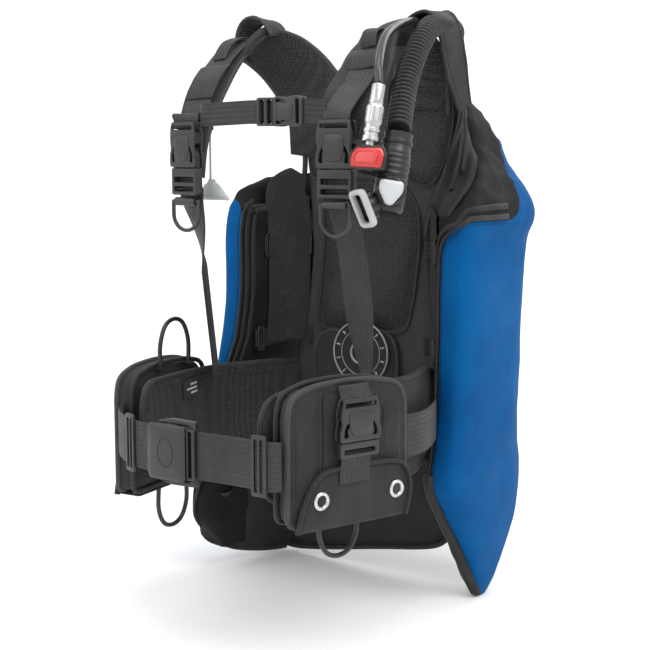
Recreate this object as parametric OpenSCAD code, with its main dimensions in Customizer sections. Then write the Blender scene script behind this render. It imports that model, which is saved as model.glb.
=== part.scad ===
// Back-inflation buoyancy compensator vest.
// Design coordinates: X to the wearer's left, Y from the wearer's chest to the tank,
// Z up, with Y = 0 on the front of the back padding and Z = 0 at the wing's lowest tips.
// place() moves the design so that the origin is on the tank's axis, at the tank band's middle.

/* [Tank] */
// Radius of the cylinder that the tank band holds
tank_r = 92; // [88:1:93]
// Height of the tank band's middle above the wing's lowest tips
band_z = 300; // [290:5:310]
// Width of the tank band's webbing
band_w = 50; // [46:1:50]
/* [Webbing] */
// Width of the waist belt
belt_w = 50; // [46:1:50]
// Width of the shoulder webbing
strap_w = 38; // [34:1:40]
// Width of the chest strap
chest_w = 25; // [22:1:26]
// Thickness of all webbing
web_t = 2.4; // [2:0.1:2.6]
/* [Inflator] */
// Outer radius of the corrugated hose
hose_r = 12.5; // [11.5:0.5:12.5]
// Outer radius of the low-pressure hose
lp_r = 4.5; // [4:0.25:4.5]
// Travel of the inflate and deflate buttons
press = 4; // [3:0.5:4]
/* [Padding] */
// Thickness of the shoulder straps' padding
strap_pad_t = 12; // [10:1:12]
// Thickness of the cummerbund's padding
cummerbund_t = 11; // [9:1:11]
// Thickness of the back padding
back_pad_t = 18; // [15:1:18]

/* [Hidden] */
$fn = 32;

// Clear gap between pieces that lie on each other
gap = 0.4;
// Stack from the front: back padding, backplate, centre panel of the wing, grip pads, tank
plate_y = back_pad_t + 1;
plate_t = 11;
panel_y = plate_y + plate_t + 1;
panel_t = 6;
tank_y = panel_y + panel_t + 9 + tank_r;
cam_turn = 62;

// Middle of each shoulder buckle's mouth: the wearer's left, then right
left_mouth = [93, -205, 505];
right_mouth = [-106, -205, 505];
chest_z = 564;
belt_z = 217;
// Where the waist belt and the chest strap cross the front
belt_y = -320;
chest_y = -206;
// Frames of the weight pockets: middle of the outer face and its turn about Z
left_pocket = [132, -240, 0];
left_pocket_turn = 69.6;
right_pocket = [-178, -187, 0];
right_pocket_turn = 95.7;
pocket_w = 148;
pocket_t = 30;
pocket_low = 152;
pocket_high = 295;
// Inflator frame: top of the barrel, leaning with the hose
inflator_at = [148, -181, 519];
inflator_lean = -16;
nipple_at = [-13, -30];
barrel_r = 16.5;
// Outer radius of the 3/8 inch thread on the low-pressure hose's end
thread_r = 4.76;

// Routes, from one end to the other
left_pad_route = [[78, -8, 590], [82, -14, 622], [84, -38, 642], [85, -75, 640], [87, -118, 617], [90, -160, 586], [91, -190, 560]];
right_pad_route = [[-88, -8, 596], [-98, -14, 640], [-108, -38, 668], [-112, -72, 668], [-111, -118, 634], [-109, -160, 592], [-106, -190, 562]];
pad_widths = [56, 52, 46, 46, 50, 52, 46];
hose_route = [[52, 84, 618], [53, 82.5, 628], [74, 62, 646], [98, 28, 658], [112, -15, 661], [118, -58, 657],
    [125, -98, 632], [132, -132, 598], [141, -158, 566], [147, -173, 546]];
lp_route = [[135, -191.7, 590.4], [129, -183, 610], [113, -145, 640], [103, -100, 657], [98, -60, 664],
    [95, -20, 667], [84, 25, 671], [66, 75, 666], [48, 116, 640], [38, 138, 602], [37, 142, 556]];
left_cummerbund_route = [[103, 12, 0], [106, -30, 0], [113, -65, 0], [126, -112, 0], [121, -162, 0], [100, -220, 0], [75, -285, 0]];
right_cummerbund_route = [[-103, 12, 0], [-106, -30, 0], [-113, -65, 0], [-132, -112, 0], [-140, -160, 0], [-136, -212, 0], [-124, -264, 0]];

function unit(v) = v / norm(v);
function tangents(p) = [for (i = [0:len(p) - 1]) unit(p[min(i + 1, len(p) - 1)] - p[max(i - 1, 0)])];
function curve_point(a, b, c, d, t) = 0.5 * (2 * b + (c - a) * t + (2 * a - 5 * b + 4 * c - d) * t * t
    + (3 * b - a - 3 * c + d) * t * t * t);
// A smooth curve through the points of p, with k steps between each two
function smooth(p, k) = [for (i = [0:len(p) - 2]) for (j = [0:k - 1])
    curve_point(p[max(i - 1, 0)], p[i], p[i + 1], p[min(i + 2, len(p) - 1)], j / k), p[len(p) - 1]];
function mirrored(p) = [for (q = p) [-q[0], q[1], q[2]]];
function raised(p, z) = [for (q = p) [q[0], q[1], q[2] + z]];
// A rounded oblong ring about c, in the plane of u and v
function oblong(c, u, v, a, b, n, power) = [for (i = [0:n - 1]) let (x = cos(360 * i / n), y = sin(360 * i / n))
    c + u * a * sign(x) * pow(abs(x), 2 / power) + v * b * sign(y) * pow(abs(y), 2 / power)];
function middle(ring) = [for (p = ring) 1 / len(ring)] * ring;

module place() translate([0, -tank_y, -band_z]) children();

// A closed skin over rings of equal length
module skin(rings) {
    n = len(rings[0]);
    m = len(rings);
    sides = [for (j = [0:m - 2]) for (i = [0:n - 1])
        let (a = j * n + i, b = j * n + (i + 1) % n, c = b + n, d = a + n) each [[a, c, b], [a, d, c]]];
    caps = [for (i = [0:n - 1]) each [[m * n, i, (i + 1) % n],
        [m * n + 1, (m - 1) * n + (i + 1) % n, (m - 1) * n + i]]];
    polyhedron([for (r = rings) each r, middle(rings[0]), middle(rings[m - 1])], concat(sides, caps));
}

// A flat band along a route. across is its width's direction, one for all or one for each point
module band(route, across, w, t) {
    along = tangents(route);
    skin([for (i = [0:len(route) - 1])
        let (a = is_num(across[0]) ? across : across[i], u = unit(a - along[i] * (a * along[i])),
            v = cross(along[i], u), s = (is_list(w) ? w[i] : w) / 2, h = t / 2)
        [route[i] + u * s + v * h, route[i] - u * s + v * h, route[i] - u * s - v * h, route[i] + u * s - v * h]]);
}

// A padded strap along a route, with round edges
module padded_band(route, across, w, t) {
    along = tangents(route);
    skin([for (i = [0:len(route) - 1])
        let (u = unit(across - along[i] * (across * along[i])), v = cross(along[i], u))
        oblong(route[i], u, v, (is_list(w) ? w[i] : w) / 2, t / 2, 12, 3.2)]);
}

// A round tube along a route
module tube(route, r, sides, reference = [0.3, 1, 0.2]) {
    along = tangents(route);
    skin([for (i = [0:len(route) - 1]) let (u = unit(cross(reference, along[i])), v = cross(along[i], u))
        oblong(route[i], u, v, r, r, sides, 2)]);
}

// An outline in X and Z, standing up and t thick from y on
module upright(y, t) translate([0, y + t, 0]) rotate([90, 0, 0]) linear_extrude(t) children();
module symmetric_outline(half) polygon(concat(half, [for (i = [len(half) - 1:-1:0]) if (half[i][0] > 0) [-half[i][0], half[i][1]]]));
module box(low, high) translate(low) cube(high - low);

// ---- back ----
module back_panel() color("#1b1c1e") place() difference() {
    upright(panel_y, panel_t) symmetric_outline([[0, 24], [50, 30], [88, 50], [108, 78], [110, 200], [108, 400],
        [95, 440], [82, 478], [70, 520], [50, 534], [0, 538]]);
    for (s = [-1, 1]) box([s * 75 - 8, panel_y - 1, band_z - band_w / 2 - 4], [s * 75 + 8, panel_y + panel_t + 1, band_z + band_w / 2 + 4]);
}

module back_pad() color("#2b2c2e") place() {
    upright(0, back_pad_t) symmetric_outline([[0, 205], [72, 205], [93, 222], [94, 285], [90, 330], [86, 385], [86, 440],
        [91, 500], [96, 545], [111, 594], [104, 614], [60, 622], [30, 619], [0, 618]]);
    // lumbar tabs in front of the padding
    for (x = [-42, 42]) upright(-14, 12) {
        translate([x - 27, 212]) square([54, 70]);
        translate([x, 282]) circle(27);
    }
}

module labels() color("#c9cbcc") place() {
    translate([0, -gap, 283]) rotate([90, 0, 0]) cylinder(r = 42, h = 1.2);
    translate([-132 + 9, -130, 246]) rotate([0, 0, -76]) cube([30, 1, 22]);
}

// Wing stations from the top's middle to each tip: centre, outward half width, front-to-back half depth
left_wing = [[[0, 84, 566], 36, 28], [[58, 84, 560], 35, 28], [[90, 84, 528], 31, 32], [[116, 68, 494], 27, 48],
    [[140, 42, 464], 29, 74], [[145, 32, 446], 31, 86], [[143, 28, 420], 27, 80], [[141, 26, 350], 25, 79],
    [[139, 26, 262], 24, 79], [[140, 20, 185], 24, 84], [[142, 16, 152], 24, 89], [[144, 22, 118], 23, 78],
    [[147, 26, 75], 18, 56], [[150, 22, 30], 10, 28], [[150, 18, 4], 3, 9]];
right_wing = [[[0, 84, 566], 36, 28], [[-50, 84, 556], 35, 28], [[-80, 84, 518], 28, 28], [[-106, 72, 474], 26, 42],
    [[-136, 28, 468], 24, 80], [[-146, 18, 440], 28, 86], [[-146, 16, 350], 27, 88], [[-151, 8, 262], 24, 95],
    [[-160, -1, 180], 23, 101], [[-168, -6, 128], 22, 102], [[-172, -14, 75], 18, 95], [[-168, -36, 28], 8, 36]];

// The wing's rings from the right tip to the left, thinner by inset all round
function wing_rings(inset) = let (stations = concat([for (i = [len(right_wing) - 1:-1:1]) right_wing[i]], left_wing),
    along = tangents([for (s = stations) s[0]]), last = len(stations) - 1)
    [for (i = [0:last]) let (t = unit([along[i][0], 0, along[i][2]]), shrink = min(inset, stations[i][1] * 0.7))
        oblong(stations[i][0] + t * (i == 0 ? shrink : i == last ? -shrink : 0), [-t[2], 0, t[0]], [0, -1, 0],
            stations[i][1] - shrink, stations[i][2] - shrink, 24, 3.4)];

module wing_shell() color("#0f6fb0") place() difference() {
    skin(wing_rings(0));
    skin(wing_rings(2));
}
module bladder() color("#3a3f45") place() skin(wing_rings(3));

module backplate() color("#151617") place() difference() {
    upright(plate_y, plate_t) symmetric_outline([[0, 192], [60, 192], [86, 215], [88, 330], [82, 400], [84, 480],
        [70, 540], [40, 560], [0, 560]]);
    for (s = [-1, 1]) box([s * 73 - 6, plate_y - 1, band_z - band_w / 2 - 3], [s * 73 + 6, panel_y, band_z + band_w / 2 + 3]);
    for (z = [390, 470]) box([-30, plate_y - 1, z], [30, panel_y, z + 45]);
    box([-45, plate_y - 1, 225], [45, panel_y, 262]);
}

module tank_grip_pads() color("#202123") place() difference() {
    for (s = [-1, 1]) for (z = [215, 345, 440]) box([s * 34 - 14, panel_y + panel_t + gap, z], [s * 34 + 14, tank_y, z + 50]);
    translate([0, tank_y, 0]) cylinder(r = tank_r + 0.6, h = 600, $fn = 96);
}

// ---- tank band ----
// Where the band leaves the backplate's slots, and where it meets the tank
slot_at = [71, plate_y + 3 - tank_y];
leave_angle = atan2(slot_at[1], slot_at[0]) + acos(tank_r / norm(slot_at));
module band_straight(s) {
    out = [cos(leave_angle), sin(leave_angle)];
    along = [-out[1], out[0]];
    hem = 0.4;
    polygon([for (p = [slot_at + hem * out, (tank_r + hem) * out + along, (tank_r + web_t - hem) * out + along,
        slot_at + (web_t - hem) * out]) [s * p[0], p[1]]]);
}
module tank_band() color("#1d1e20") {
    translate([0, 0, -band_w / 2]) linear_extrude(band_w) {
        difference() {
            circle(r = tank_r + web_t, $fn = 96);
            circle(r = tank_r, $fn = 96);
            polygon([[0, 0], 3 * tank_r * [cos(leave_angle), sin(leave_angle)], [0, -4 * tank_r],
                3 * tank_r * [-cos(leave_angle), sin(leave_angle)]]);
        }
        for (s = [-1, 1]) band_straight(s);
    }
}
// The cam buckle's frame: X out of the band, Y along it
module at_cam() rotate([0, 0, cam_turn]) translate([tank_r + web_t + gap, 0, 0]) children();
cam_pin_at = [9.5, -16];
module cam_frame() color("#0e0f10") at_cam() difference() {
    union() {
        box([0, -26, -29.5], [2.6, 24, 29.5]);
        for (s = [-1, 1]) {
            box([0, -26, s * 27.5 - 2], [11, 24, s * 27.5 + 2]);
            translate([cam_pin_at[0], cam_pin_at[1], s * 27.5 - 2]) cylinder(r = 6.5, h = 4);
        }
    }
    translate([cam_pin_at[0], cam_pin_at[1], -40]) cylinder(r = 2.52, h = 80);
    // the tank's curve, and the webbing's windows
    translate([-tank_r - web_t - gap, 0, -40]) cylinder(r = tank_r + web_t + 0.2, h = 80, $fn = 96);
    for (y = [-8, 10]) box([-1, y, -24], [3, y + 6, 24]);
}
module cam_lever() color("#17181a") at_cam() difference() {
    union() {
        translate([cam_pin_at[0], cam_pin_at[1], -25]) cylinder(r = 6, h = 50);
        box([cam_pin_at[0], cam_pin_at[1], -25], [cam_pin_at[0] + 5, 38, 25]);
        translate([cam_pin_at[0] + 2.5, 38, -25]) cylinder(r = 3.6, h = 50);
    }
    translate([cam_pin_at[0], cam_pin_at[1], -40]) cylinder(r = 2.56, h = 80);
    for (y = [0, 15]) box([0, y, -20], [30, y + 7, 20]);
}

compression_z = [416, 284];
module steel_hardware() color("#b9bcc0") {
    at_cam() translate([cam_pin_at[0], cam_pin_at[1], -29.5]) cylinder(r = 2.5, h = 59);
    // wire sliders of the compression straps
    place() for (s = [-1, 1]) for (z = compression_z) translate([s * 100, -11.4, z]) difference() {
        box([-9, -1.2, -15], [9, 1.2, 15]);
        for (k = [-1, 1]) box([k * 4 - 2.4, -2, -12.5], [k * 4 + 2.4, 2, 12.5]);
    }
}

module carry_handle() color("#1b1c1e") place()
    tube(smooth([[-42, 47, 520], [-42, 46, 552], [-30, 46, 574], [0, 46, 580], [30, 46, 574], [42, 46, 552], [42, 47, 520]], 3), 4.5, 10);

// ---- shoulders ----
module shoulder_pad(route, slope) padded_band(smooth(route, 2), [1, 0, slope],
    [for (w = smooth([for (v = pad_widths) [v, 0, 0]], 2)) w[0]], strap_pad_t);
module shoulder_strap_left() color("#27282a") place() shoulder_pad(left_pad_route, -0.25);
module shoulder_strap_right() color("#27282a") place() shoulder_pad(right_pad_route, 0.25);

// The webbing on top of each pad, down to the buckle
function webbing_route(mouth, s) = [[mouth[0] - s * 1, -84, s > 0 ? 647 : 676], [mouth[0] - s * 1, -118, s > 0 ? 632 : 651],
    [mouth[0] - s * 1, -160, s > 0 ? 602 : 609], [mouth[0], -198, 573], [mouth[0], mouth[1] - 1, mouth[2] + 53.5]];
module shoulder_webbing() color("#202123") place()
    for (m = [[left_mouth, 1], [right_mouth, -1]]) band(smooth(webbing_route(m[0], m[1]), 3), [1, 0, 0], strap_w - 4, web_t);

module webbing_slides() color("#101113") place() {
    // keepers above the shoulder buckles
    for (m = [left_mouth, right_mouth]) translate([m[0], -187.8, 583.6]) rotate([-50, 0, 0]) difference() {
        box([-24, -5, -9], [24, 4.2, 9]);
        box([-19.5, -3.6, -10], [19.5, 3.6, 10]);
    }
    // belt slides by each pocket
    for (x = [[80, belt_y, 0], [-96, belt_y + 8.6, -22]]) translate([x[0], x[1], belt_z]) rotate([0, 0, x[2]]) difference() {
        box([-8, -3.4, -belt_w / 2 - 5], [8, 3.4, belt_w / 2 + 5]);
        box([-9, -2, -belt_w / 2 - 1], [9, 2, belt_w / 2 + 1]);
    }
    // guide of the shoulder dump's pull cord
    translate([-101, -170, 546]) difference() {
        cylinder(r = 4, h = 24);
        translate([0, 0, -1]) cylinder(r = 1.7, h = 26);
    }
}

module hose_sleeve() color("#1e1f21") place()
    band(smooth([[62, -46, 658], [72, -46, 670], [88, -46, 679], [104, -46, 681], [122, -46, 676], [133, -46, 664],
        [135, -46, 646]], 3), [0, 1, 0], 56, 2);

// ---- buckles: Z from the male half's base into the female half, -Y to the front ----
module buckle_female(w, h, t, web) difference() {
    union() {
        box([-w / 2, -t / 2, 0.3], [w / 2, t / 2, h - 8]);
        box([-web / 2 - 4, -t / 2 + 2, h - 9], [web / 2 + 4, t / 2 - 2, h + 4]);
    }
    // cavity, open to the mouth and to the release windows on both sides
    box([-w / 2 + 4, -t / 2 + 3, -1], [w / 2 - 4, t / 2 - 3, h - 12]);
    for (s = [-1, 1]) box([s * (w / 2 - 2) - 3, -t / 2 + 3, -1], [s * (w / 2 - 2) + 3, t / 2 - 3, h - 18]);
    // webbing slot
    box([-web / 2, -t, h - 5], [web / 2, t, h]);
}
module buckle_male(w, h, t, web, base) {
    difference() {
        box([-w / 2, -t / 2, -base], [w / 2, t / 2, 0]);
        for (z = [-base + 4 : 9 : -base + 14]) box([-web / 2, -t, z], [web / 2, t, z + 5]);
    }
    for (s = [-1, 1]) box([s * (w / 2 - 5) - 4, -t / 2 + 3.4, -0.5], [s * (w / 2 - 5) + 4, t / 2 - 3.4, h - 19]);
    box([-4, -t / 2 + 3.4, -0.5], [4, t / 2 - 3.4, h - 15]);
}

shoulder_buckle = [44, 48, 14];
d_pivot = -37;
module shoulder_buckle_females() color("#0f1012") place() for (m = [left_mouth, right_mouth])
    translate(m) buckle_female(shoulder_buckle[0], shoulder_buckle[1], shoulder_buckle[2], strap_w - 3);
module shoulder_male(m) translate(m) {
    buckle_male(shoulder_buckle[0], shoulder_buckle[1], 11, strap_w - 3, 32);
    // sleeve that the D-ring's bar turns in
    difference() {
        union() {
            translate([-14, -2, d_pivot]) rotate([0, 90, 0]) cylinder(r = 4.6, h = 28);
            box([-14, -5, d_pivot], [14, 1, -31]);
        }
        translate([-20, -2, d_pivot]) rotate([0, 90, 0]) cylinder(r = 2.35, h = 40);
    }
}
module shoulder_buckle_male_left() color("#0f1012") place() shoulder_male(left_mouth);
module shoulder_buckle_male_right() color("#0f1012") place() shoulder_male(right_mouth);

module d_ring(m) translate(m + [0, -2, d_pivot]) rotate([90, 0, 0]) {
    rotate([0, 90, 0]) translate([0, 0, -18]) cylinder(r = 2.2, h = 36);
    for (s = [-1, 1]) translate([s * 18, 0, 0]) {
        sphere(2.2);
        translate([0, -14, 0]) rotate([-90, 0, 0]) cylinder(r = 2.2, h = 14);
    }
    translate([0, -14, 0]) rotate([0, 0, 180]) rotate_extrude(angle = 180) translate([18, 0]) circle(2.2);
}
module d_ring_left() color("#141517") place() d_ring(left_mouth);
module d_ring_right() color("#141517") place() d_ring(right_mouth);

module lower_webbing(m, far) band(smooth([m + [0, 8.6, -12], m + [0, 9, -36], m + [far[0] * 0.3, 18, -78], far + m], 4),
    [1, 0, 0], strap_w - 8, web_t);
module lower_webbing_left() color("#202123") place() lower_webbing(left_mouth, [14, 42, -219]);
module lower_webbing_right() color("#202123") place() lower_webbing(right_mouth, [-16, 43, -221]);

// ---- chest strap ----
chest_mouth = [16, chest_y, chest_z];
chest_male_x = chest_mouth[0] - 20;
module chest_strap_left() color("#1f2022") place()
    box([chest_mouth[0] + 39, chest_y - web_t / 2, chest_z - chest_w / 2], [70.8, chest_y + web_t / 2, chest_z + chest_w / 2]);
module chest_strap_right() color("#1f2022") place()
    box([-83.8, chest_y - web_t / 2, chest_z - chest_w / 2], [chest_male_x - 3, chest_y + web_t / 2, chest_z + chest_w / 2]);
module at_chest() translate(chest_mouth) rotate([0, 90, 0]) children();
module chest_buckle_female() color("#0f1012") place() at_chest() buckle_female(31, 34, 11, chest_w);
module chest_buckle_male() color("#0f1012") place() at_chest() buckle_male(31, 34, 10, chest_w, 22);

// ---- waist ----
// narrower where it leaves the back, under the wing's straps
cummerbund_widths = [80, 82, 106, 108, 108, 108, 108];
module cummerbund(route) padded_band(raised(smooth(route, 2), 226), [0, 0, 1],
    [for (w = smooth([for (v = cummerbund_widths) [v, 0, 0]], 2)) w[0]], cummerbund_t);
module cummerbund_left() color("#232426") place() cummerbund(left_cummerbund_route);
module cummerbund_right() color("#232426") place() cummerbund(right_cummerbund_route);

waist_mouth = [-12, belt_y, belt_z];
waist_base = 12;
module waist_belt() color("#252628") place() {
    // round the wearer's right side to the buckle
    band(smooth([[waist_mouth[0] - 52, belt_y, belt_z], [-92, belt_y + 7, belt_z], [-122, belt_y + 22, belt_z],
        [-148, belt_y + 44, belt_z], [-158, belt_y + 60, belt_z]], 3), [0, 0, 1], belt_w, web_t);
    // from the left pocket back to the wing
    band(smooth([[150, -160, 226], [153, -130, 226], [146, -100, 226], [133, -66, 226]], 3), [0, 0, 1], belt_w - 4, web_t);
}
module waist_belt_front_left() color("#252628") place()
    band([[waist_mouth[0] + waist_base + 1, belt_y, belt_z], [40, belt_y, belt_z], [89, belt_y, belt_z],
        [99, belt_y + 5, belt_z]], [0, 0, 1], belt_w, web_t);
module at_waist() translate(waist_mouth) rotate([0, -90, 0]) children();
module waist_buckle_female() color("#111214") place() at_waist() buckle_female(56, 46, 15, belt_w - 2);
module waist_buckle_male() color("#111214") place() at_waist() {
    buckle_male(56, 46, 12, belt_w - 2, waist_base);
    // squeeze tabs beside the female half
    for (s = [-1, 1]) {
        box([s * 31.5 - 3, -2.6, -waist_base], [s * 31.5 + 3, 2.6, 38]);
        box([s * 29.5 - 5, -2.6, -waist_base], [s * 29.5 + 5, 2.6, -1]);
    }
}

// ---- weight pockets: X along the face to the back, Y inward ----
module at_left_pocket() translate(left_pocket) rotate([0, 0, left_pocket_turn]) children();
module at_right_pocket() translate(right_pocket) mirror([1, 0, 0]) rotate([0, 0, 180 - right_pocket_turn]) children();
module pocket_sleeve() difference() {
    box([-pocket_w / 2, 0, pocket_low], [pocket_w / 2, pocket_t, pocket_high]);
    box([-pocket_w / 2 + 3, 2.5, pocket_low - 1], [pocket_w / 2 - 3, pocket_t - 2.5, pocket_high - 3]);
}
flap_t = 4;
grommet_x = [-44, 50];
grommet_z = 178;
module pouch() {
    box([-66, 4, pocket_low - 1], [66, pocket_t - 4, pocket_high - 10]);
    box([-66, -flap_t - 0.7, pocket_low - 4], [66, pocket_t - 4, pocket_low - 0.8]);
    difference() {
        translate([0, -0.7, 0]) rotate([90, 0, 0]) linear_extrude(flap_t) intersection() {
            translate([0, pocket_low - 20]) circle(r = 76, $fn = 64);
            translate([-80, pocket_low - 4]) square([160, 80]);
        }
        for (x = grommet_x) translate([x, 1, grommet_z]) rotate([90, 0, 0]) cylinder(r = 9.6, h = 8);
    }
}
module flap_grommets() for (x = grommet_x) translate([x, -0.7, grommet_z]) rotate([90, 0, 0]) difference() {
    cylinder(r = 9.5, h = flap_t + 1.2);
    translate([0, 0, -1]) cylinder(r = 4.8, h = 10);
}
pocket_buckle_at = [2, -11.4, 236];
module pocket_female() translate(pocket_buckle_at) buckle_female(50, 40, 12, 40);
module pocket_male() translate(pocket_buckle_at) {
    buckle_male(50, 40, 10, 40, 16);
    // webbing from the flap
    box([-19, 4.2, -44], [19, 6.4, -1]);
}
module pocket_left() color("#1a1b1d") place() at_left_pocket() pocket_sleeve();
module pocket_right() color("#1a1b1d") place() at_right_pocket() pocket_sleeve();
module pouch_left() color("#232427") place() at_left_pocket() pouch();
module pouch_right() color("#232427") place() at_right_pocket() pouch();
module flap_grommets_left() color("#c4c6c8") place() at_left_pocket() flap_grommets();
module flap_grommets_right() color("#c4c6c8") place() at_right_pocket() flap_grommets();
module pocket_buckle_females() color("#111214") place() {
    at_left_pocket() pocket_female();
    at_right_pocket() pocket_female();
}
module pocket_buckle_male_left() color("#111214") place() at_left_pocket() pocket_male();
module pocket_buckle_male_right() color("#111214") place() at_right_pocket() pocket_male();

// Elastic loops: wide at the middle, sewn at both ends
function loop_route(w, h) = [[-w / 2, 0, 0], [-w / 2 - 1, 0, h * 0.5], [-w / 3, 0, h * 0.88], [0, 0, h], [w / 3, 0, h * 0.88], [w / 2 + 1, 0, h * 0.5], [w / 2, 0, 0]];
module loop(w, h) tube(smooth(loop_route(w, h), 3), 2.6, 8, [0, 1, 0]);
module bungee_loops() color("#1c1d1f") place() {
    at_left_pocket() translate([0, pocket_t + 3.2, pocket_low + 2]) loop(38, -46);
    at_right_pocket() translate([-30, pocket_t + 3.2, pocket_low + 2]) loop(38, -46);
    at_right_pocket() translate([-10, pocket_t + 3.2, pocket_high - 8]) loop(44, 52);
}

// ---- wing straps and valves ----
module compression_straps() color("#1f2022") place() for (s = [-1, 1]) for (z = compression_z) {
    box([s * 90 - 20, -9.8, z - 11], [s * 90 + 20, -8.2, z + 11]);
    box([s * 72 - 3, -8.2, z - 11], [s * 72 + 3, -gap, z + 11]);
}

// Seats of the two dump valves on the wing's back
valves = [[-62, 112.6, 552], [-156, 104, 150]];
module dump_valves() color("#121315") place() {
    for (v = valves) translate(v) rotate([-90, 0, 0]) difference() {
        union() {
            cylinder(r = 24, h = 6);
            cylinder(r = 17, h = 14);
        }
        translate([0, 0, -1]) cylinder(r = 6.2, h = 30);
    }
}
module rear_dump_knob() color("#c9cdd0") place() translate(valves[1]) rotate([-90, 0, 0]) {
    translate([0, 0, 3]) cylinder(r = 6, h = 12);
    translate([0, 0, 14.4]) cylinder(r = 10, h = 8);
}

pull_at = [-101, -170];
module shoulder_pull_cord() color("#2a2b2d") place()
    tube([for (z = [569:-13:491]) [pull_at[0], pull_at[1], z]], 1.2, 8);
module shoulder_pull_toggle() color("#d6dadb") place() translate([pull_at[0], pull_at[1] + 4, 0]) rotate([90, 0, 0])
    linear_extrude(8) polygon([[-7, 491], [-24, 469], [24, 469], [7, 491]]);

// ---- hose and inflator ----
module hose_elbow() color("#101113") place() translate([52, 84, 602]) difference() {
    union() {
        cylinder(r = 15, h = 6);
        cylinder(r = 10.4, h = 12);
    }
    translate([0, 0, -1]) cylinder(r = 7.5, h = 40);
}
module corrugated_hose() color("#141517") place() tube(smooth(hose_route, 3), hose_r, 12);
module at_inflator() translate(inflator_at) rotate([inflator_lean, 0, 0]) children();
module hose_clamps() color("#0d0e0f") place() at_inflator() difference() {
    translate([0, 0, 10]) cylinder(r = 15.6, h = 4);
    translate([0, 0, 9]) cylinder(r = 15.05, h = 6);
}
deflate_turn = 34;
module deflate_frame() translate([0, 0, -41]) rotate([0, 0, deflate_turn]) rotate([90, 0, 0]) children();
mouth_turn = [126, 0, -25];
module mouth_frame() translate([-4, -8, -46]) rotate(mouth_turn) children();
module inflator_body() color("#111214") place() at_inflator() difference() {
    union() {
        translate([0, 0, -60]) cylinder(r = barrel_r, h = 60);
        // cuff over the hose
        translate([0, 0, -1]) cylinder(r = 15, h = 23);
        // inflate housing under the nipple
        translate([nipple_at[0], nipple_at[1], -25]) cylinder(r = 10, h = 25);
        box([-20, -37, -25], [2, 0, 0]);
        mouth_frame() cylinder(r = 10.5, h = 20);
    }
    translate([0, 0, 0.5]) cylinder(r = 13.2, h = 60);
    translate([nipple_at[0], nipple_at[1], -8]) cylinder(r = 4.5, h = 30);
    translate([-5, 0, -15]) rotate([90, 0, 0]) translate([0, 0, 26]) cylinder(r = 4.2, h = 30);
    deflate_frame() translate([0, 0, 9]) cylinder(r = 4.2, h = 20);
    mouth_frame() cylinder(r = 7, h = 40);
    translate([0, 0, -56]) cylinder(r = 13, h = 50);
}
module mouthpiece() color("#9aa0a2") place() at_inflator() mouth_frame() translate([0, 0, 20.2]) difference() {
    union() {
        for (s = [-1, 1]) translate([0, s * 5, 0]) cylinder(r = 14, h = 7);
        box([-14, -5, 0], [14, 5, 7]);
    }
    for (s = [-1, 1]) translate([0, s * 5, -1]) cylinder(r = 7.5, h = 12);
    box([-7.5, -5, -1], [7.5, 5, 12]);
}
module inflate_button() color("#d8403f") place() at_inflator() translate([-5, 0, -15]) rotate([90, 0, 0]) {
    translate([0, 0, 31]) cylinder(r = 4, h = 15);
    box([-16, -9, 44.3], [16, 9, 51.5]);
}
module deflate_button() color("#d3d7d8") place() at_inflator() deflate_frame() {
    translate([0, 0, 14]) cylinder(r = 4, h = 8);
    translate([0, 0, 22.2]) cylinder(r = 12.5, h = 7);
}
module lp_nipple() color("#c2c5c8") place() at_inflator() translate([nipple_at[0], nipple_at[1], -7.6])
    cylinder(r = 4.4, h = 30);
module lp_sleeve() color("#c9ccd0") place() at_inflator() translate([nipple_at[0], nipple_at[1], 4.6]) difference() {
    cylinder(r = 9, h = 38);
    translate([0, 0, -1]) cylinder(r = 5, h = 20.5);
    translate([0, 0, 18]) cylinder(r = 7.3, h = 30);
}
// The hose's end, inside the sliding sleeve, and the first-stage thread at the other end
module lp_fitting() color("#c2c5c8") place() {
    at_inflator() translate([nipple_at[0], nipple_at[1], 27.6]) cylinder(r = 7, h = 36);
    translate(lp_route[len(lp_route) - 1]) {
        translate([0, 0, -20]) cylinder(r = 6.5, h = 19.8);
        translate([0, 0, -29]) cylinder(r = 8, h = 9, $fn = 6);
        translate([0, 0, -38.5]) cylinder(r = thread_r, h = 9.5);
    }
}
module lp_hose() color("#121314") place() tube(smooth(lp_route, 3), lp_r, 8);

back_panel();
back_pad();
labels();
wing_shell();
bladder();
backplate();
tank_grip_pads();
tank_band();
cam_frame();
cam_lever();
steel_hardware();
carry_handle();
shoulder_strap_left();
shoulder_strap_right();
shoulder_webbing();
webbing_slides();
hose_sleeve();
shoulder_buckle_females();
shoulder_buckle_male_left();
shoulder_buckle_male_right();
lower_webbing_left();
lower_webbing_right();
d_ring_left();
d_ring_right();
chest_strap_left();
chest_strap_right();
chest_buckle_female();
chest_buckle_male();
cummerbund_left();
cummerbund_right();
waist_belt();
waist_belt_front_left();
waist_buckle_female();
waist_buckle_male();
pocket_left();
pocket_right();
pouch_left();
pouch_right();
flap_grommets_left();
flap_grommets_right();
pocket_buckle_females();
pocket_buckle_male_left();
pocket_buckle_male_right();
bungee_loops();
compression_straps();
dump_valves();
rear_dump_knob();
shoulder_pull_cord();
shoulder_pull_toggle();
hose_elbow();
corrugated_hose();
hose_clamps();
inflator_body();
mouthpiece();
inflate_button();
deflate_button();
lp_nipple();
lp_sleeve();
lp_hose();
lp_fitting();
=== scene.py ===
"""Looks of the back-inflation buoyancy vest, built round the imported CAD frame."""

import math

import bmesh
import bpy
import numpy as np
from mathutils import Matrix, Vector, noise


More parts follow.
